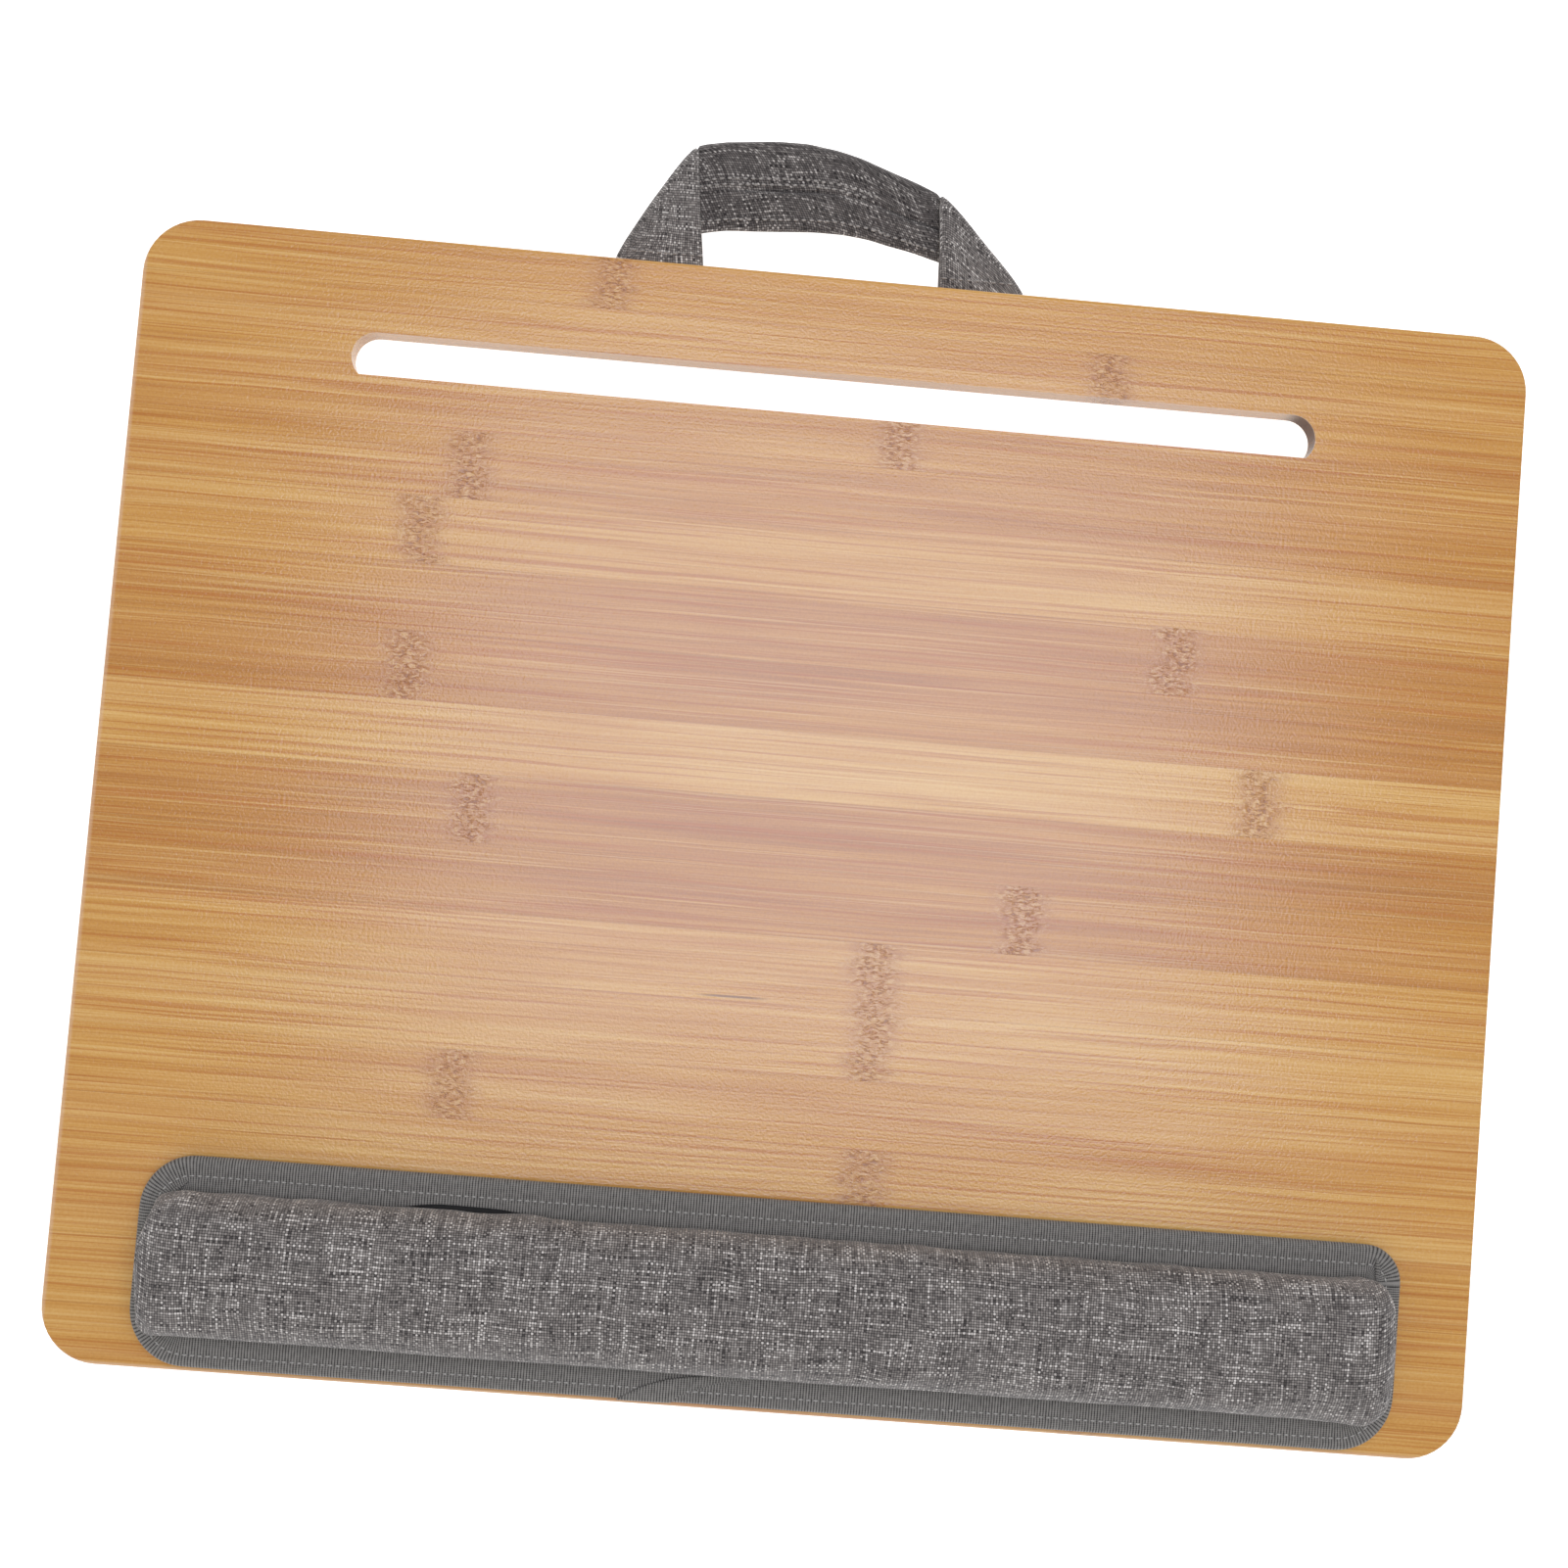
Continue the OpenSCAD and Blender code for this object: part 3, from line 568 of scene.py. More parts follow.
def put_in_order(bm):
    """Sorts vertices by place, then edges and faces by vertices: each run makes the same mesh."""
    bm.verts.sort(key=lambda v: round(v.co.x * 1e6) * 1e8 + round(v.co.y * 1e6) * 1e2 + v.co.z * 1e2)
    bm.verts.index_update()
    for part in (bm.edges, bm.faces):
        part.sort(key=lambda e: min(v.index for v in e.verts) * 1e10 + sum(v.index ** 1.5 for v in e.verts))


def make_piece(name, bm, finish, body=None, sharp=None):
    """Makes the object, with its place in its mesh, and lets it ride on a body."""
    bmesh.ops.recalc_face_normals(bm, faces=bm.faces)
    put_in_order(bm)
    mesh = bpy.data.meshes.new(name)
    bm.to_mesh(mesh)
    bm.free()
    mesh.shade_smooth()
    if sharp:
        mesh.set_sharp_from_angle(angle=math.radians(sharp))
    mesh.materials.append(finish)
    piece = bpy.data.objects.new(name, mesh)
    scene.collection.objects.link(piece)
    if body:
        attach(piece, body)
    print(name + ":", len(mesh.polygons), "faces")
    return piece


def round_off(piece):
    """Subdivision rounds a soft piece off."""
    rounding = piece.modifiers.new("rounding", "SUBSURF")
    rounding.levels = rounding.render_levels = 1
    return piece


def thicken(piece, thickness):
    """Gives a single skin its thickness, inwards."""
    wall = piece.modifiers.new("thickness", "SOLIDIFY")
    wall.thickness = thickness
    wall.offset = -1
    return piece


# %% Settling a stuffed cover with a cloth simulation
PRESSURE = 4.0
SLACK = 0.03
FRAMES = 20


def settle(piece, height, below, cap_at):
    """Pushes a cover out from inside. Its seams, near a height, are held, and moves are capped."""
    held = piece.vertex_groups.new(name="seam")
    held.add([v.index for v in piece.data.vertices if (v.co.z < height) == below], 1.0, "REPLACE")
    cloth = piece.modifiers.new("cloth", "CLOTH")
    cloth.settings.vertex_group_mass = "seam"
    cloth.settings.use_pressure = True
    cloth.settings.uniform_pressure_force = PRESSURE
    cloth.settings.shrink_min = -SLACK
    cloth.settings.effector_weights.gravity = 0.0
    cloth.point_cache.frame_start = 1
    cloth.point_cache.frame_end = FRAMES
    for frame_number in range(1, FRAMES + 1):
        scene.frame_set(frame_number)
    settled = piece.evaluated_get(bpy.context.evaluated_depsgraph_get()).data
    steps = [moved.co - vert.co for vert, moved in zip(piece.data.vertices, settled.vertices)]
    for vert, step in zip(piece.data.vertices, steps):
        vert.co += step * min(1.0, cap_at / max(step.length, 1e-9))
        vert.co.z = max(vert.co.z, 0.0)
    piece.modifiers.remove(cloth)
    piece.vertex_groups.remove(held)
    scene.frame_set(1)
    print(piece.name, "pushed by up to", round(max(step.length for step in steps) / MM, 1), "mm")
    return piece


# %% [markdown]
# ## Carry handle
#
# The handle is one strap, 26 mm wide, with both ends screwed under the board. Each leg is folded
# over on a slant, so the middle lies on its back behind the legs and shows the strap's centre
# seam. The stations below walk along the strap: the end under the board, the leg, the turn of
# the fold, the fan where the strap straightens, and the band between the folds. A station is the
# outer end, the inner end, the direction that the cloth faces, and how far its line bows out.

# %% Strap stations, in mm from the hinge line
def limit_share(value):
    return min(max(value, 0.0), 1.0)


STRAP_W, STRAP_T = 26.0, 2.4


def flat_line(middle, side, y):
    outer, inner = middle - side * STRAP_W / 2, middle + side * STRAP_W / 2
    return [Vector((outer, y, 0)), Vector((inner, y, 0)), UP, Vector()]


def leg(middle, side, tip, fold_r, tip_r, bow):
    """One side of the handle, from the strap's end to the lower side of its fold."""
    lines = [flat_line(middle, side, y) for y in (-25.4, -25.0, -21, -17, -13, -9, -6, -4)]
    outer = Vector((middle - side * (STRAP_W / 2 + 0.4), -3.2, 0))
    corner = Vector((middle + side * STRAP_W / 2, -3.2, 0))
    tip = Vector((tip[0], tip[1], 0))
    along = (tip - outer).normalized()
    away = Vector((-along.y * side, along.x * side, 0))
    for i in range(9):
        lines.append([outer.copy(), corner.lerp(tip, i / 8), UP, away * bow * i / 8])
    for turn in range(20, 181, 20):
        t = math.radians(turn)
        facing = away * math.sin(t) + Vector((0, 0, math.cos(t)))
        ends = []
        for point, r, slip in ((outer, fold_r, 1.1), (tip, tip_r, 0.25)):
            sunk = Vector((0, 0, r * (1 - math.cos(t))))
            ends.append(point + along * r * t * slip + away * r * math.sin(t) - sunk)
        lines.append([ends[0], ends[1], facing, away * bow])
    return lines


left_leg = leg(-54, 1, (-45.6, 34.3), 1.1, 1.35, 0.3)
right_leg = leg(40, -1, (25.5, 26.4), 1.1, 1.25, 0.2)
print("stations on the legs:", len(left_leg), len(right_leg))

# %% The band between the folds, as it lies in the photograph: rear and front edge
rear_edge = [
    (-46.2, 36.6), (-43.5, 37.7), (-38, 39.0), (-30, 39.5), (-22, 40.3), (-14, 40.5),
    (-6, 39.4), (2, 37.4), (10, 34.7), (18, 32.0), (22, 30.6), (25.5, 29.0),
]
front_edge = [
    (-54, 6.2), (-43, 10.0), (-36, 11.4), (-28, 12.2), (-19, 13.0), (-10, 13.8),
    (-2, 14.1), (6, 13.2), (14, 11.3), (22, 9.4), (31, 7.2), (42, 4.2),
]


def band():
    lines = []
    for i, (rear, front) in enumerate(zip(rear_edge, front_edge)):
        share = i / (len(rear_edge) - 1)
        lift = Vector((0, 0, -3.0 - 0.9 * math.sin(math.pi * share) - 0.8 * share))
        lines.append([Vector((*front, 0)) + lift, Vector((*rear, 0)) + lift, -UP, Vector()])
    return lines


print("places along the band:", len(rear_edge))


# %% Strap mesh
def strap_middle(line, share):
    """A point of a station's line at a share of the strap's width."""
    outer, inner, _, bow = line
    return outer.lerp(inner, share) + bow * 4 * share * (1 - share)


UPPER_SHARES = (0.0, 0.03, 0.1, 0.22, 0.36, 0.5, 0.64, 0.78, 0.9, 0.97, 1.0)
UNDER_SHARES = (0.97, 0.9, 0.78, 0.66, 0.56, 0.49, 0.475, 0.46, 0.445, 0.43, 0.36, 0.24, 0.1, 0.03)


def strap_ring(line, crease):
    """A section of the padded strap: rounded edges, and the centre seam on its under side."""
    def swell(share):
        return max(0.0, 1 - abs(2 * share - 1) ** 5) ** 0.6 * STRAP_T / 2

    points = [(share, swell(share)) for share in UPPER_SHARES]
    for share in UNDER_SHARES:
        seam = crease if share == 0.46 else crease * 0.3 if share in (0.475, 0.445) else 0.0
        points.append((share, -swell(share) + seam))
    return [strap_middle(line, share) + line[2] * height for share, height in points]


def finer(lines, times=2):
    """Adds stations between the given ones."""
    fine = [lines[0]]
    for a, b in zip(lines, lines[1:]):
        for i in range(1, times + 1):
            fine.append([p.lerp(q, i / times) for p, q in zip(a, b)])
            fine[-1][2].normalize()
    return fine


print("points round the strap:", len(UPPER_SHARES + UNDER_SHARES))

# %% The strap, with a ripple where it hangs free
HINGE = Vector((0, 142.606, 53.8))
strap_lines = left_leg + finer(band(), 3) + right_leg[::-1]
first_band, last_band = len(left_leg), len(strap_lines) - len(right_leg)
rings = []
for number, line in enumerate(strap_lines):
    ring = []
    on_band = limit_share((number - first_band) / 6) * limit_share((last_band - number) / 4)
    crease = on_band * (1.2 + 0.9 * math.sin((number - first_band) * 0.42 + 2.6))
    for p in strap_ring(line, crease):
        place = (p + HINGE) * MM
        soft = limit_share((p.y - 3) / 8)
        ripple = noise.noise_vector(place * 70) * 0.00042 + noise.noise_vector(place * 190) * 0.00016
        ring.append(place + ripple * soft)
    rings.append(ring)
bm, rows = loft(rings, own_length=True, capped=True)
# The under side, which lies face up on the band between the folds, takes the darker copy of the melange:
# painted shade
under_side = {v for row in rows for v in row[len(UPPER_SHARES):]}
for face in bm.faces:
    face.material_index = int(all(v in under_side for v in face.verts))
strap = round_off(make_piece("handle_strap", bm, melange))
strap.data.materials.append(melange_painted_shade)
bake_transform(strap)
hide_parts("handle_foot_left", "handle_foot_right", "handle_loop")


# %% Stitches
def stitches(bm, points, ups, pitch, length, width):
    """Sinks small rounded stitches into the cloth along a line of points."""
    gone, due = 0.0, pitch / 2
    for a, b, up in zip(points, points[1:], ups):
        step = (b - a).length
        while due <= gone + step:
            forward = (b - a).normalized()
            side = up.cross(forward).normalized()
            turn = Matrix((forward, side, side.cross(forward) * -1)).transposed().to_4x4()
            size = Matrix.Diagonal((length / 2, width / 2, width / 2.4, 1))
            place = Matrix.Translation(a.lerp(b, (due - gone) / step))
            bmesh.ops.create_icosphere(bm, subdivisions=1, radius=1.0, matrix=place @ turn @ size)
            due += pitch
        gone += step


def strap_line_at(share, height, first, last):
    """Points on the strap at a share of its width."""
    points, ups = [], []
    for line in strap_lines[first:last]:
        facing = line[2]
        points.append((strap_middle(line, share) + facing * height + HINGE) * MM)
        ups.append(facing * (1 if height > 0 else -1))
    return points, ups


STITCH_H = STRAP_T / 2 + 0.1
bm = bmesh.new()
for share, last in ((0.575, first_band + 24), (0.51, first_band + 22), (0.13, last_band)):
    points, ups = strap_line_at(share, -STITCH_H, first_band - 1, last)
    stitches(bm, points, ups, 0.0023, 0.0017, 0.0009)
for outer, inner, _, _ in (left_leg[8], right_leg[8]):
    xs = [outer.x + (inner.x - outer.x) * s for s in (0.16, 0.4, 0.7, 0.97)]
    row = [(Vector((x, 2.4, STITCH_H)) + HINGE) * MM for x in xs]
    stitches(bm, row, [UP] * 3, 0.0024, 0.0018, 0.0008)
make_piece("handle_stitches", bm, dark_thread, "handle")

# %% Screws and washers keep their CAD shape
for name in ("handle_screws", "handle_washers"):
    redress(name, steel)
print("screws and washers in steel")

# %% [markdown]
# ## Wrist rest
#
# The wrist rest is a thin panel with a stuffed roll on it. Its edge is bound all round with a
# grosgrain tape, which is sewn on with one row of stitches and laps over itself at the front.
# Hook pads under the panel hold it to loop pads on the board, so it lifts off. The tape is a
# loft round the panel's outline, with a section that wraps the edge from above to below.

# %% Outline of a plate with round corners
def outline(width, depth, radii, run, turns):
    """Points round a rectangle, and the direction outwards at each, from the right side on."""
    def on_corner(i, degrees):
        r, (sx, sy) = radii[i % 4], ((1, 1), (-1, 1), (-1, -1), (1, -1))[i % 4]
        a = math.radians(degrees)
        way = Vector((math.cos(a), math.sin(a), 0))
        return Vector((sx * (width / 2 - r), sy * (depth / 2 - r), 0)) + way * r, way

    places = []
    for i in range(4):
        places += [on_corner(i, 90 * i + 90 * k / turns) for k in range(turns + 1)]
        end, way = on_corner(i + 1, 90 * (i + 1))
        start = places[-1][0]
        pieces = max(2, round((end - start).length / run))
        places += [(start.lerp(end, k / pieces), way) for k in range(1, pieces)]
    return places


def in_from(place, way, inset, z, radius):
    """A point in from the outline, never past the corner's own middle."""
    return place - way * min(inset, radius) + Vector((0, 0, z))


WRIST = Vector((0.0018, -0.1519, 0.0))
wrist_path = outline(0.3532, 0.058, (0.0105, 0.015, 0.016, 0.016), 0.006, 10)
print("tape path:", len(wrist_path), "places")


# %% Binding tape
def stitch_inset(way):
    """The stitches run further in along the rear edge than along the front edge."""
    return 0.0046 + 0.0009 * way.y


LEAST_RADIUS = 0.0115


def tape_ring(place, way):
    """The tape's section. In one stretch along the rear it stands off the roll and shows a gap, where the
    near-black stiff sheet below gives a line of painted shade.
    """
    s = stitch_inset(way)
    gap = limit_share((place.x + 0.118) / 0.022) * limit_share((-0.054 - place.x) / 0.022) * (way.y > 0.99)
    inner = 0.0125 - 0.0041 * gap
    section = [
        (inner, 68.1), (inner - 0.0001, 68.35), (min(0.0095, inner - 0.0005), 68.42),
        (s + 0.0009, 68.38), (s, 68.06), (s - 0.0009, 68.38), (0.0022, 68.42), (0.0011, 68.2),
        (0.0003, 67.6), (0.0, 66.55), (0.0003, 65.5), (0.0011, 64.9), (0.0022, 64.7), (s, 64.85),
        (0.0088, 64.7), (0.009, 65.0), (0.0022, 65.3), (0.0012, 66.5), (0.0022, 67.8),
    ]
    wobble = noise.noise(place * 60) * 0.00018
    return [in_from(place, way, i + wobble * (i > 0.001), z * MM, LEAST_RADIUS) + WRIST for i, z in section]


bm, rows = loft([tape_ring(place, way) for place, way in wrist_path], endless=True)
binding = round_off(make_piece("wrist_tape", bm, grosgrain, "wrist_rest"))
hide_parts("wrist_binding")

# %% Tape stitches
bm = bmesh.new()
for z, up, pitch, length, width in (
    (0.0683, UP, 0.0021, 0.0016, 0.0006), (0.06475, -UP, 0.0026, 0.0021, 0.00045),
):
    points = [in_from(p, w, stitch_inset(w), z, LEAST_RADIUS) + WRIST for p, w in wrist_path]
    stitches(bm, points + points[:1], [up] * len(points), pitch, length, width)
make_piece("wrist_tape_stitches", bm, thread, "wrist_rest")


# %% The tape's end, folded to a slant where it laps over its start
folded_edge = [
    (-39.4, -181.0, 67.9), (-38.8, -180.6, 68.5), (-36.8, -179.2, 68.9), (-33.9, -177.3, 69),
    (-30.3, -175.8, 69), (-25.5, -174.2, 69), (-20.6, -173.3, 69), (-16.8, -172.8, 69),
    (-12.5, -172.3, 69), (-8.5, -171.9, 69),
]
rings = []
for x, y, z in folded_edge:
    reach = [(0.0, -0.45), (0.3, -0.05), (1.2, 0.0), (4, -0.05), (8, -0.15), (12, -0.35), (15, -0.65)]
    rings.append([Vector((x + across, y, z + fall)) * MM for across, fall in reach])
bm, rows = loft(rings, closed=False)
for face in bm.faces:
    for corner in face.loops:
        corner[bm.loops.layers.uv["cloth"]].uv = (corner.vert.co.y, corner.vert.co.x)
lap = thicken(make_piece("wrist_tape_lap", bm, grosgrain, "wrist_rest"), 0.0005)

# %% Two small folds in the tape, at the rear corners
def fold_ridge(points, half, rise):
    """A low rounded ridge along a line, in mm. It sinks into the tape at both ends."""
    rings = []
    for i, point in enumerate(points):
        a, b = points[max(i - 1, 0)], points[min(i + 1, len(points) - 1)]
        side = (Vector(b) - Vector(a)).normalized().cross(UP)
        full = math.sin(math.pi * (0.12 + 0.76 * i / (len(points) - 1)))
        ring = []
        for across, up in ((-1, -0.3), (-0.9, 0.5), (-0.3, 1), (0.5, 0.9), (1, 0.2), (0.8, -0.3)):
            lift = Vector((0, 0, up * rise * full))
            ring.append((Vector(point) + side * across * half * full + lift) * MM)
        rings.append(ring)
    return rings


left_fold = [
    (-173.3, -144.5, 68.5), (-171.3, -140.3, 68.6), (-168.2, -136, 68.7), (-164.6, -132.3, 68.7),
    (-161, -129.4, 68.5),
]
right_fold = [(170.6, -126.3, 68.4), (170.9, -128.3, 68.7), (171.0, -130.5, 68.8), (170.6, -132.8, 68.5)]
folds = bmesh.new()
for points, half, rise in ((left_fold, 0.75, 0.8), (right_fold, 0.8, 0.9)):
    add_to(folds, loft(fold_ridge(points, half, rise), capped=True)[0])
round_off(make_piece("wrist_tape_folds", folds, grosgrain, "wrist_rest"))

# %% [markdown]
# The roll is foam in the same melange. Its cover is drawn down to the panel along both long
# sides and turned in at the ends, which leaves them nearly square, with one corner cut off on a
# slant. Its crown falls a little unevenly, as hand-filled covers do.

# %% Roll
def arch(half_w, half_seam, height, full, top, steps):
    """Half a section of a stuffed form: points (side, height) from seam to seam."""
    low, power = 30.0, 0.8
    base = math.cos(math.radians(low)) ** power
    points = []
    for k in range(steps + 1):
        a = -low + k * (180 + 2 * low) / steps
        c, s = math.cos(math.radians(a)), math.sin(math.radians(a))
        bulge = abs(c) ** power
        if s < 0:
            side = half_seam + (half_w - half_seam) * (bulge - base) / (1 - base)
            z = full + full * s / math.sin(math.radians(low))
        else:
            side = half_w * bulge
            z = full + (height - full) * s ** power
        points.append((side if a < 90 else -side, min(z, top)))
    return points


def cut(distance, steps):
    """How much a corner takes away at a distance from the end, from a short table in mm."""
    for (d0, c0), (d1, c1) in zip(steps, steps[1:]):
        if distance <= d1:
            return c0 + (c1 - c0) * (distance - d0) / (d1 - d0)
    return 0.0


left_rear = [(0, 17), (0.3, 13), (0.9, 9.5), (2, 6), (3.6, 2.8), (6.5, 1), (11, 0)]
left_front = [(0, 8.5), (0.4, 5.4), (1.6, 2.6), (3.4, 1), (6, 0.2), (9, 0)]
right_rear = [(0, 8.5), (0.3, 6.2), (1, 4), (2.2, 2), (4.5, 0.7), (8, 0)]
right_front = [(0, 9), (0.3, 6.8), (1.2, 4), (3, 1.8), (6, 0.5), (10, 0)]
end_drop = [(0, 5.5), (0.4, 4), (1, 2.9), (3, 1.5), (6, 0.6), (12, 0)]
ROLL_LEN = 344.3
end_steps = [0.0, 0.15, 0.4, 0.9, 1.6, 2.6, 4.0, 6.0, 8.5, 12.0, 16.0, 22.0]
inner_steps = [22 + (ROLL_LEN - 44) * i / 54 for i in range(1, 54)]
stations = end_steps + inner_steps + [ROLL_LEN - s for s in end_steps[::-1]]


def roll_ring(s, shrink=1.0):
    """A section of the roll at a distance from its left end."""
    e = ROLL_LEN - s
    rear = cut(s, left_rear) + cut(e, right_rear)
    front = cut(s, left_front) + cut(e, right_front)
    drop = cut(min(s, e), end_drop)
    x = s - 171.3
    lump = noise.noise(Vector((x * 0.022, 1.7, 0))) * 0.5 + noise.noise(Vector((x * 0.06, 4.2, 0))) * 0.25
    ring = []
    for side, z in arch(20.2 + lump * 0.5, 18.7, 17.5 - drop + lump * 0.7 - 0.35, 7.0, 99, 26):
        y = (front - rear) / 2 + side * (40.4 - front - rear) / 40.4
        dent = noise.noise(Vector((x * 0.05, y * 0.11, z * 0.1))) * 0.35
        spot = Vector((x, y, z + dent * min(z / 8, 1)))
        spot = Vector((x, (front - rear) / 2, 6.0)).lerp(spot, shrink)
        ring.append((spot + Vector((0, -151.3, 68.4))) * MM)
    return ring


rings = [roll_ring(0.0, 0.3), roll_ring(0.0, 0.8)] + [roll_ring(s) for s in stations]
rings += [roll_ring(ROLL_LEN, 0.8), roll_ring(ROLL_LEN, 0.3)]
bm, rows = loft(rings, capped=True)
flat_ends(bm, 0)
roll = make_piece("wrist_roll", bm, melange, "wrist_rest")
round_off(settle(roll, height=0.0686, below=True, cap_at=0.0008))
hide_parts("wrist_cover", "wrist_foam")


# %% [markdown]
# Under the roll lie a stiff sheet and a bottom fabric, and three hook pads are sewn to that
# fabric. They show when the wrist rest is lifted off. Plates like these start as one square
# face: its corners are rounded with a bevel of the vertices, and it is extruded to its height.

# %% Plates with round corners
def bevel(bm, geom, offset, segments, affect="EDGES"):
    bmesh.ops.bevel(
        bm, geom=geom, offset=offset, offset_type="OFFSET", segments=segments, affect=affect,
        profile=0.5, material=-1
    )


def soften_rims(bm, edge):
    rims = [e for e in bm.edges if e.calc_face_angle(0) > 1.0]
    bevel(bm, rims, edge, 2)


def raise_to(bm, height):
    """Extrudes all faces upwards."""
    grown = bmesh.ops.extrude_face_region(bm, geom=bm.faces[:])["geom"]
    risen = [g for g in grown if isinstance(g, bmesh.types.BMVert)]
    bmesh.ops.translate(bm, vec=(0, 0, height), verts=risen)


def plate(low, high, radius, edge, segments=8):
    """A plate between two corners, with round corners in plan and soft edges."""
    bm = bmesh.new()
    size = Vector(high) - Vector(low)
    middle = (Vector(low) + Vector(high)) / 2
    bmesh.ops.create_grid(bm, x_segments=1, y_segments=1, size=0.5)
    bmesh.ops.scale(bm, vec=(size.x, size.y, 1), verts=bm.verts)
    bmesh.ops.translate(bm, vec=(middle.x, middle.y, low[2]), verts=bm.verts)
    if radius:
        bevel(bm, bm.verts[:], radius, segments, "VERTICES")
    raise_to(bm, size.z)
    bmesh.ops.recalc_face_normals(bm, faces=bm.faces)
    soften_rims(bm, edge)
    layer = bm.loops.layers.uv.new("cloth")
    for face in bm.faces:
        for corner in face.loops:
            p = corner.vert.co
            corner[layer].uv = (p.x, p.y) if abs(face.normal.z) > 0.5 else (p.x + p.y, p.z)
    return bm


def box_plate(node_name, radius, edge, trim=0.0):
    """A plate that fills a CAD node's box, taken in by a trim on all sides."""
    low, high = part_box(node_name)
    return plate(low + Vector((trim,) * 3), high - Vector((trim,) * 3), radius, edge)


def under_plate(name, node_name, inset, edge, finish):
    """A plate under the tape that keeps a CAD node's height and follows the tape's outline."""
    low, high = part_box(node_name)
    half = Vector((0.1766 - inset, 0.029 - inset, 0))
    corner = WRIST - half + Vector((0, 0, low.z))
    bm = plate(corner, WRIST + half + Vector((0, 0, high.z)), 0.0155, edge)
    made = make_piece(name, bm, finish, "wrist_rest", 40)
    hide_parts(node_name)
    return made


backing = under_plate("wrist_bottom_cloth", "wrist_backing", 0.0009, 0.0002, dark_cloth)
# The near-black stiff sheet shows where the tape stands off the roll, as a line of painted shade
under_plate("wrist_stiff_sheet", "wrist_stiffener", 0.0009, 0.0003, painted_shade_sheet)


# %% Hook and loop pads, each with a sewn border
def pads(name, node_name, finish, body, up):
    """Three pads in a row, with stitches on the side that faces up or down."""
    low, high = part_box(node_name)
    z_stitch = high.z if up > 0 else low.z
    bm = bmesh.new()
    bm.loops.layers.uv.new("cloth")
    seam = bmesh.new()
    for i in (-1, 0, 1):
        x = (low.x + high.x) / 2 + i * 0.12
        add_to(bm, plate((x - 0.03, low.y, low.z), (x + 0.03, high.y, high.z), 0.001, 0.0003, 3))
        path = outline(0.0555, high.y - low.y - 0.0045, (0.001,) * 4, 0.006, 2)
        centre = Vector((x, (low.y + high.y) / 2, z_stitch))
        points = [p + centre for p, _ in path]
        stitches(seam, points + points[:1], [Vector((0, 0, up))] * len(points), 0.003, 0.0022, 0.0005)
    piece = make_piece(name, bm, finish, body, 40)
    make_piece(name + "_stitches", seam, dark_thread, body)
    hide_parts(node_name)


pads("board_loop_fabric", "board_loop_pads", loops, "desk", 1)
pads("wrist_hook_fabric", "wrist_hook_pads", hooks, "wrist_rest", -1)

# %% [markdown]
# ## Cushion
#
# The cushion is a box of cloth under the board: a top panel glued to the wood, a side band with
# a zip in its rear, a bottom panel, and piping in the seam between them. Its foam slab doesn't
# show. Two stuffed bolsters hang from the bottom panel and leave a channel for the legs. The
# photograph doesn't show this side, so its form follows what such desks have.

# %% Top and bottom panels and the foam slab
bm = box_plate("cushion_top_panel", 0.024, 0.0003)
top_panel = make_piece("cushion_top_cloth", bm, dark_cloth, "desk", 40)
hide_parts("cushion_top_panel")
bm = box_plate("cushion_bottom_panel", 0.02, 0.0003)
bottom_panel = make_piece("cushion_bottom_cloth", bm, dark_cloth, "desk", 40)
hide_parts("cushion_bottom_panel")
bm = box_plate("cushion_foam_slab", 0.022, 0.001, 0.0002)
slab = make_piece("cushion_foam", bm, foam, "desk", 40)
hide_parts("cushion_foam_slab")

# %% Side band, with its opening for the zip
CUSHION_Y = -0.048894
CUSHION = Vector((0, CUSHION_Y, 0))
band_path = outline(0.372, 0.248, (0.024,) * 4, 0.008, 10)
rings = []
for place, way in band_path:
    by_zip = way.y > 0.99 and abs(place.x) < 0.135
    ring = []
    for z in (53.5, 52.6, 51, 48.5, 45.5, 42.5, 40, 38.4, 37.5):
        swell = 0.0 if by_zip else 0.0013 * math.sin(math.pi * (z - 37.5) / 16)
        crease = noise.noise(Vector((place.x * 45, place.y * 45, z * 0.06))) * 0.0005
        ring.append(place + way * (swell + crease * (0 if by_zip else 1)) + CUSHION + Vector((0, 0, z * MM)))
    rings.append(ring)
bm, rows = loft(rings, closed=False, endless=True)
ZIP_HALF, ZIP_LOW, ZIP_HIGH = 0.1151, 0.0399, 0.0511
RIGHT = Vector((1, 0, 0))
for no, place in ((RIGHT, ZIP_HALF), (RIGHT, -ZIP_HALF), (UP, ZIP_LOW), (UP, ZIP_HIGH)):
    whole = bm.verts[:] + bm.edges[:] + bm.faces[:]
    bmesh.ops.bisect_plane(bm, geom=whole, dist=1e-7, plane_co=no * place, plane_no=no)
opening = []
for face in bm.faces:
    c = face.calc_center_median()
    if c.y > 0.07 and abs(c.x) < ZIP_HALF and ZIP_LOW < c.z < ZIP_HIGH:
        opening.append(face)
bmesh.ops.delete(bm, geom=opening, context="FACES")
side_band = thicken(make_piece("cushion_side_cloth", bm, melange, "desk"), 0.0013)
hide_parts("cushion_side_band")

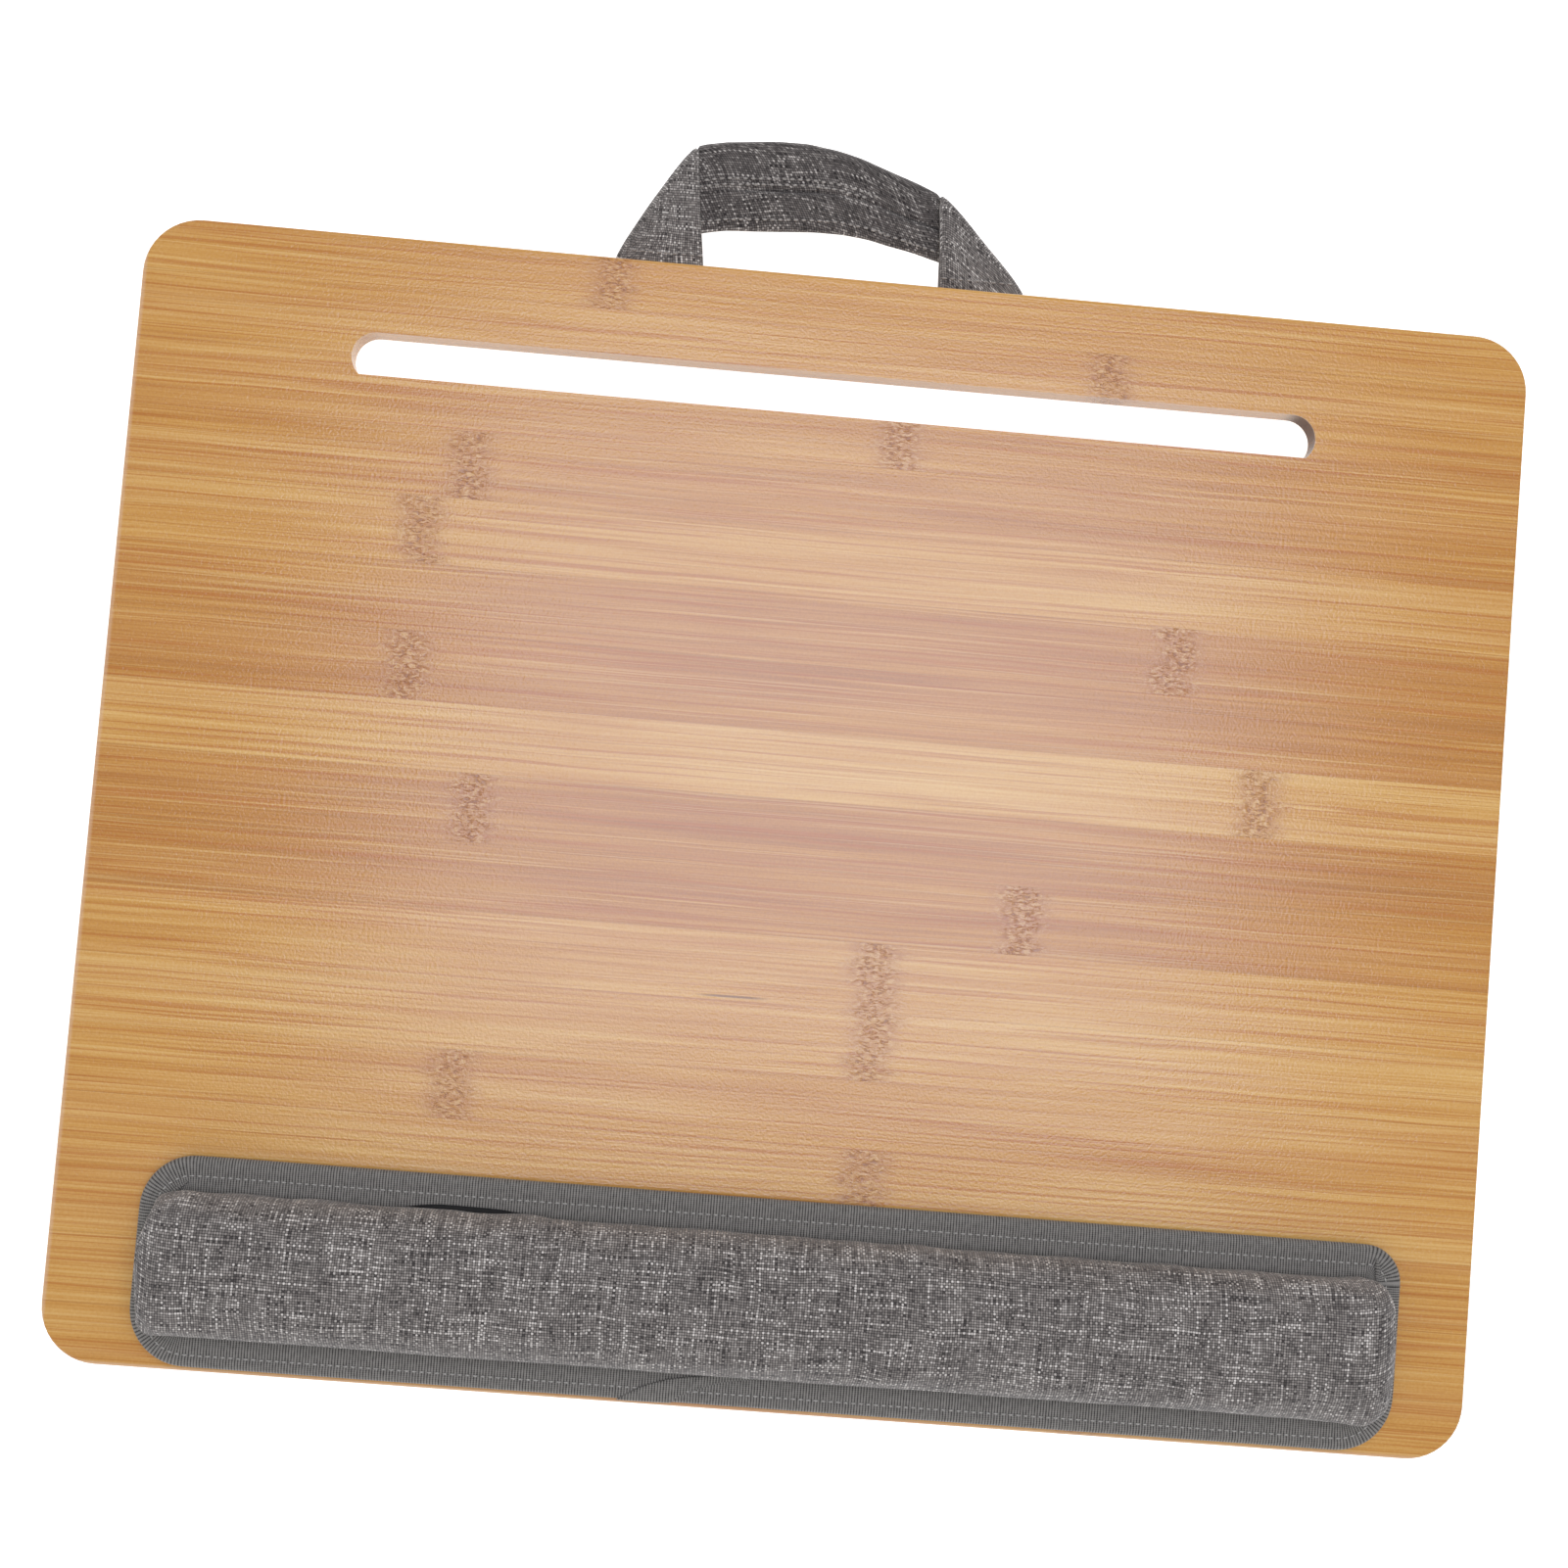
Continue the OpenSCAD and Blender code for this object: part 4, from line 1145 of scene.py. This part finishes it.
# %% Piping
PIPING_R, PIPING_Z, PIPING_SIDES = 0.00175, 0.03575, 10
rings = []
for place, way in outline(0.3685, 0.2445, (0.02225,) * 4, 0.01, 12):
    ring = []
    for k in range(PIPING_SIDES):
        a = math.tau * k / PIPING_SIDES
        up = Vector((0, 0, PIPING_Z + PIPING_R * math.sin(a)))
        ring.append(place + CUSHION + way * math.cos(a) * PIPING_R + up)
    rings.append(ring)
bm, rows = loft(rings, endless=True)
piping = round_off(make_piece("cushion_piping_cloth", bm, grosgrain, "desk"))
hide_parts("cushion_piping")

# %% [markdown]
# The bolsters are stuffed tubes whose cloth is gathered into the bottom panel. The crown is flat
# where it stands, the long sides bulge past the seam, and the ends round off. Short gathers run
# down from the seam and die out in the bulge.

# %% Bolsters
def smooth_cut(distance, length, depth):
    """The rounding of an end: depth at the very end, nothing after length."""
    share = limit_share(1 - distance / length)
    return depth * (1 - math.sqrt(max(0.0, 1 - share * share)))


BOLSTER_LEN = 234.0
bolster_ends = [0, 0.6, 1.6, 3.2, 5.5, 8.5, 12.5, 17, 22, 28]
bolster_steps = [28 + 178 * i / 30 for i in range(1, 30)]
bolster_steps = bolster_ends + bolster_steps + [BOLSTER_LEN - s for s in bolster_ends[::-1]]
END_RINGS = ((0.15, -0.8), (0.45, -0.75), (0.75, -0.55), (0.93, -0.25))


def bolster_ring(side, s, shrink=1.0, push=0.0):
    e = min(s, BOLSTER_LEN - s)
    u = 2 * s / BOLSTER_LEN - 1
    narrow = smooth_cut(e, 26, 20) + 2 * (1 - u * u)
    height = 36.8 - 4 * u * u - smooth_cut(e, 26, 14)
    y = s - BOLSTER_LEN / 2 + push
    ring = []
    for x, z in arch(60 - narrow, 56 - narrow, height, 13, 36.3, 34):
        gather = math.sin(y * 0.62 + 2.5 * noise.noise(Vector((y * 0.05, side * 3, 0)))) * 0.55
        gather *= max(0.0, 1 - z / 12) * min(z / 2.5, 1)
        dent = noise.noise(Vector((y * 0.02 + side * 7, x * 0.03, z * 0.04))) * 1.1
        dent *= min(z / 6, 1) * min(max((36.0 - z) / 4, 0), 1)
        spot = Vector((x * (1 + (gather + dent) / 60), y, z))
        spot = Vector((0, y, 14)).lerp(spot, shrink)
        ring.append(Vector((side * 0.123 + spot.x * MM, CUSHION_Y + spot.y * MM, 0.0363 - spot.z * MM)))
    return ring


def bolster(name, side, cover, filling):
    rings = [bolster_ring(side, 0, shrink, push) for shrink, push in END_RINGS]
    rings += [bolster_ring(side, s) for s in bolster_steps]
    rings += [bolster_ring(side, BOLSTER_LEN, shrink, -push) for shrink, push in END_RINGS[::-1]]
    bm, rows = loft(rings, capped=True)
    flat_ends(bm, 1)
    made = make_piece(name, bm, melange, "desk")
    round_off(settle(made, height=0.0358, below=False, cap_at=0.003))
    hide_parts(cover, filling)


bolster("bolster_left", -1, "bolster_cover_left", "bolster_filling_left")
bolster("bolster_right", 1, "bolster_cover_right", "bolster_filling_right")

# %% [markdown]
# ## Zip
#
# The cover comes off through a zip in the rear of the side band: a woven tape, a nylon coil
# whose two rows of turns lock into each other, end stops, and a metal slider with its pull. One
# turn of the coil is a small rounded shape, repeated along the chain.

# %% Zip tape and coil
tape_piece = make_piece("zip_tape_cloth", box_plate("zip_tape", 0, 0.0002), zip_cloth, "desk", 40)
layer = tape_piece.data.uv_layers["cloth"].data
for corner in tape_piece.data.loops:
    p = tape_piece.data.vertices[corner.vertex_index].co
    layer[corner.index].uv = (p.z, p.x)
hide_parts("zip_tape")

low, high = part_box("zip_chain")
bm = bmesh.new()
COIL_PITCH = 0.0013
for i in range(int((high.x - low.x) / COIL_PITCH)):
    for up in (-1, 1):
        x = low.x + COIL_PITCH * (i + (0.35 if up < 0 else 0.85))
        place = Matrix.Translation((x, low.y + 0.00082, (low.z + high.z) / 2 + up * 0.00078))
        size = Matrix.Diagonal((0.00052, 0.00084, 0.0014, 1))
        bmesh.ops.create_icosphere(bm, subdivisions=1, radius=1.0, matrix=place @ size)
coil = make_piece("zip_coil_turns", bm, nylon, "desk")
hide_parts("zip_chain")


# %% Stops, slider and pull
def edges_of(bm, verts):
    return [e for e in bm.edges if e.verts[0] in verts and e.verts[1] in verts]


def soft_block(bm, low, high, edge=0.0003):
    """Adds a block with rounded edges."""
    low, high = Vector(low), Vector(high)
    made = bmesh.ops.create_cube(bm, size=1.0)["verts"]
    bmesh.ops.scale(bm, vec=high - low, verts=made)
    bmesh.ops.translate(bm, vec=(low + high) / 2, verts=made)
    bevel(bm, edges_of(bm, made), edge, 3)


low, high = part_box("zip_stops")
bm = bmesh.new()
soft_block(bm, low, (low.x + 0.0019, high.y, high.z))
soft_block(bm, (high.x - 0.0019, low.y, low.z), high)
stops = make_piece("zip_end_stops", bm, zip_metal, "desk")
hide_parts("zip_stops")

low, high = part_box("zip_slider")
middle_z = (low.z + high.z) / 2
face_y = 0.078106
PIN_X, PIN_Y, PIN_R = -0.104, 0.080356, 0.0008
bm = bmesh.new()
soft_block(bm, (low.x, face_y - 0.001, low.z), (high.x, face_y, high.z), 0.0004)
for up in (-1, 1):
    rim = sorted((middle_z + up * 0.0025, middle_z + up * 0.0035))
    soft_block(bm, (low.x, low.y, rim[0]), (high.x, face_y - 0.0004, rim[1]), 0.0003)
    post = sorted((middle_z + up * 0.00175, middle_z + up * 0.00275))
    soft_block(bm, (PIN_X - PIN_R, face_y - 0.0002, post[0]), (PIN_X + PIN_R, high.y, post[1]), 0.00025)
bmesh.ops.create_cone(
    bm, cap_ends=True, segments=24, radius1=PIN_R, radius2=PIN_R, depth=0.0038,
    matrix=Matrix.Translation((PIN_X, PIN_Y, middle_z))
)
slider = make_piece("zip_slider_body", bm, zip_metal, "slider", 40)
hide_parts("zip_slider")

# %% Pull tab: a plate with a window, on an eye that turns on the pin
TAB_T = 0.0011


def pull_tab():
    low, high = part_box("zip_pull")
    bm = bmesh.new()
    start, end = -0.1003, high.x
    bmesh.ops.create_grid(bm, x_segments=1, y_segments=1, size=0.5)
    bmesh.ops.scale(bm, vec=(end - start, high.z - low.z, 1), verts=bm.verts)
    bevel(bm, bm.verts[:], 0.0019, 6, "VERTICES")
    frame_faces = set(bmesh.ops.inset_region(
        bm, faces=bm.faces[:], thickness=TAB_T, depth=0.0, use_even_offset=True
    )["faces"])
    inner = [f for f in bm.faces if f not in frame_faces]
    bmesh.ops.delete(bm, geom=inner, context="FACES")
    raise_to(bm, TAB_T)
    upright = Matrix.Rotation(math.radians(90), 4, "X")
    turn = Matrix.Translation(((start + end) / 2, PIN_Y + TAB_T / 2, middle_z)) @ upright
    bmesh.ops.transform(bm, matrix=turn, verts=bm.verts)
    bmesh.ops.recalc_face_normals(bm, faces=bm.faces)
    soften_rims(bm, 0.0002)
    soft_block(bm, (-0.1024, 0.0799, middle_z - 0.0014), (-0.0998, 0.0808, middle_z + 0.0014), 0.0003)
    eye = bmesh.ops.create_circle(bm, cap_ends=False, segments=10, radius=0.00042)["verts"]
    place = Matrix.Translation((PIN_X + 0.0015, PIN_Y, middle_z)) @ upright
    bmesh.ops.transform(bm, matrix=place, verts=eye)
    edges = edges_of(bm, eye)
    bmesh.ops.scale(bm, vec=(1, 1, 2.6), verts=eye, space=Matrix.Translation((0, 0, -middle_z)))
    bmesh.ops.spin(
        bm, geom=edges + eye, cent=(PIN_X, PIN_Y, middle_z), axis=UP,
        angle=math.tau, steps=24, use_merge=True
    )
    return bm


pull = make_piece("zip_pull_tab", pull_tab(), zip_metal, "pull", 40)
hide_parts("zip_pull")
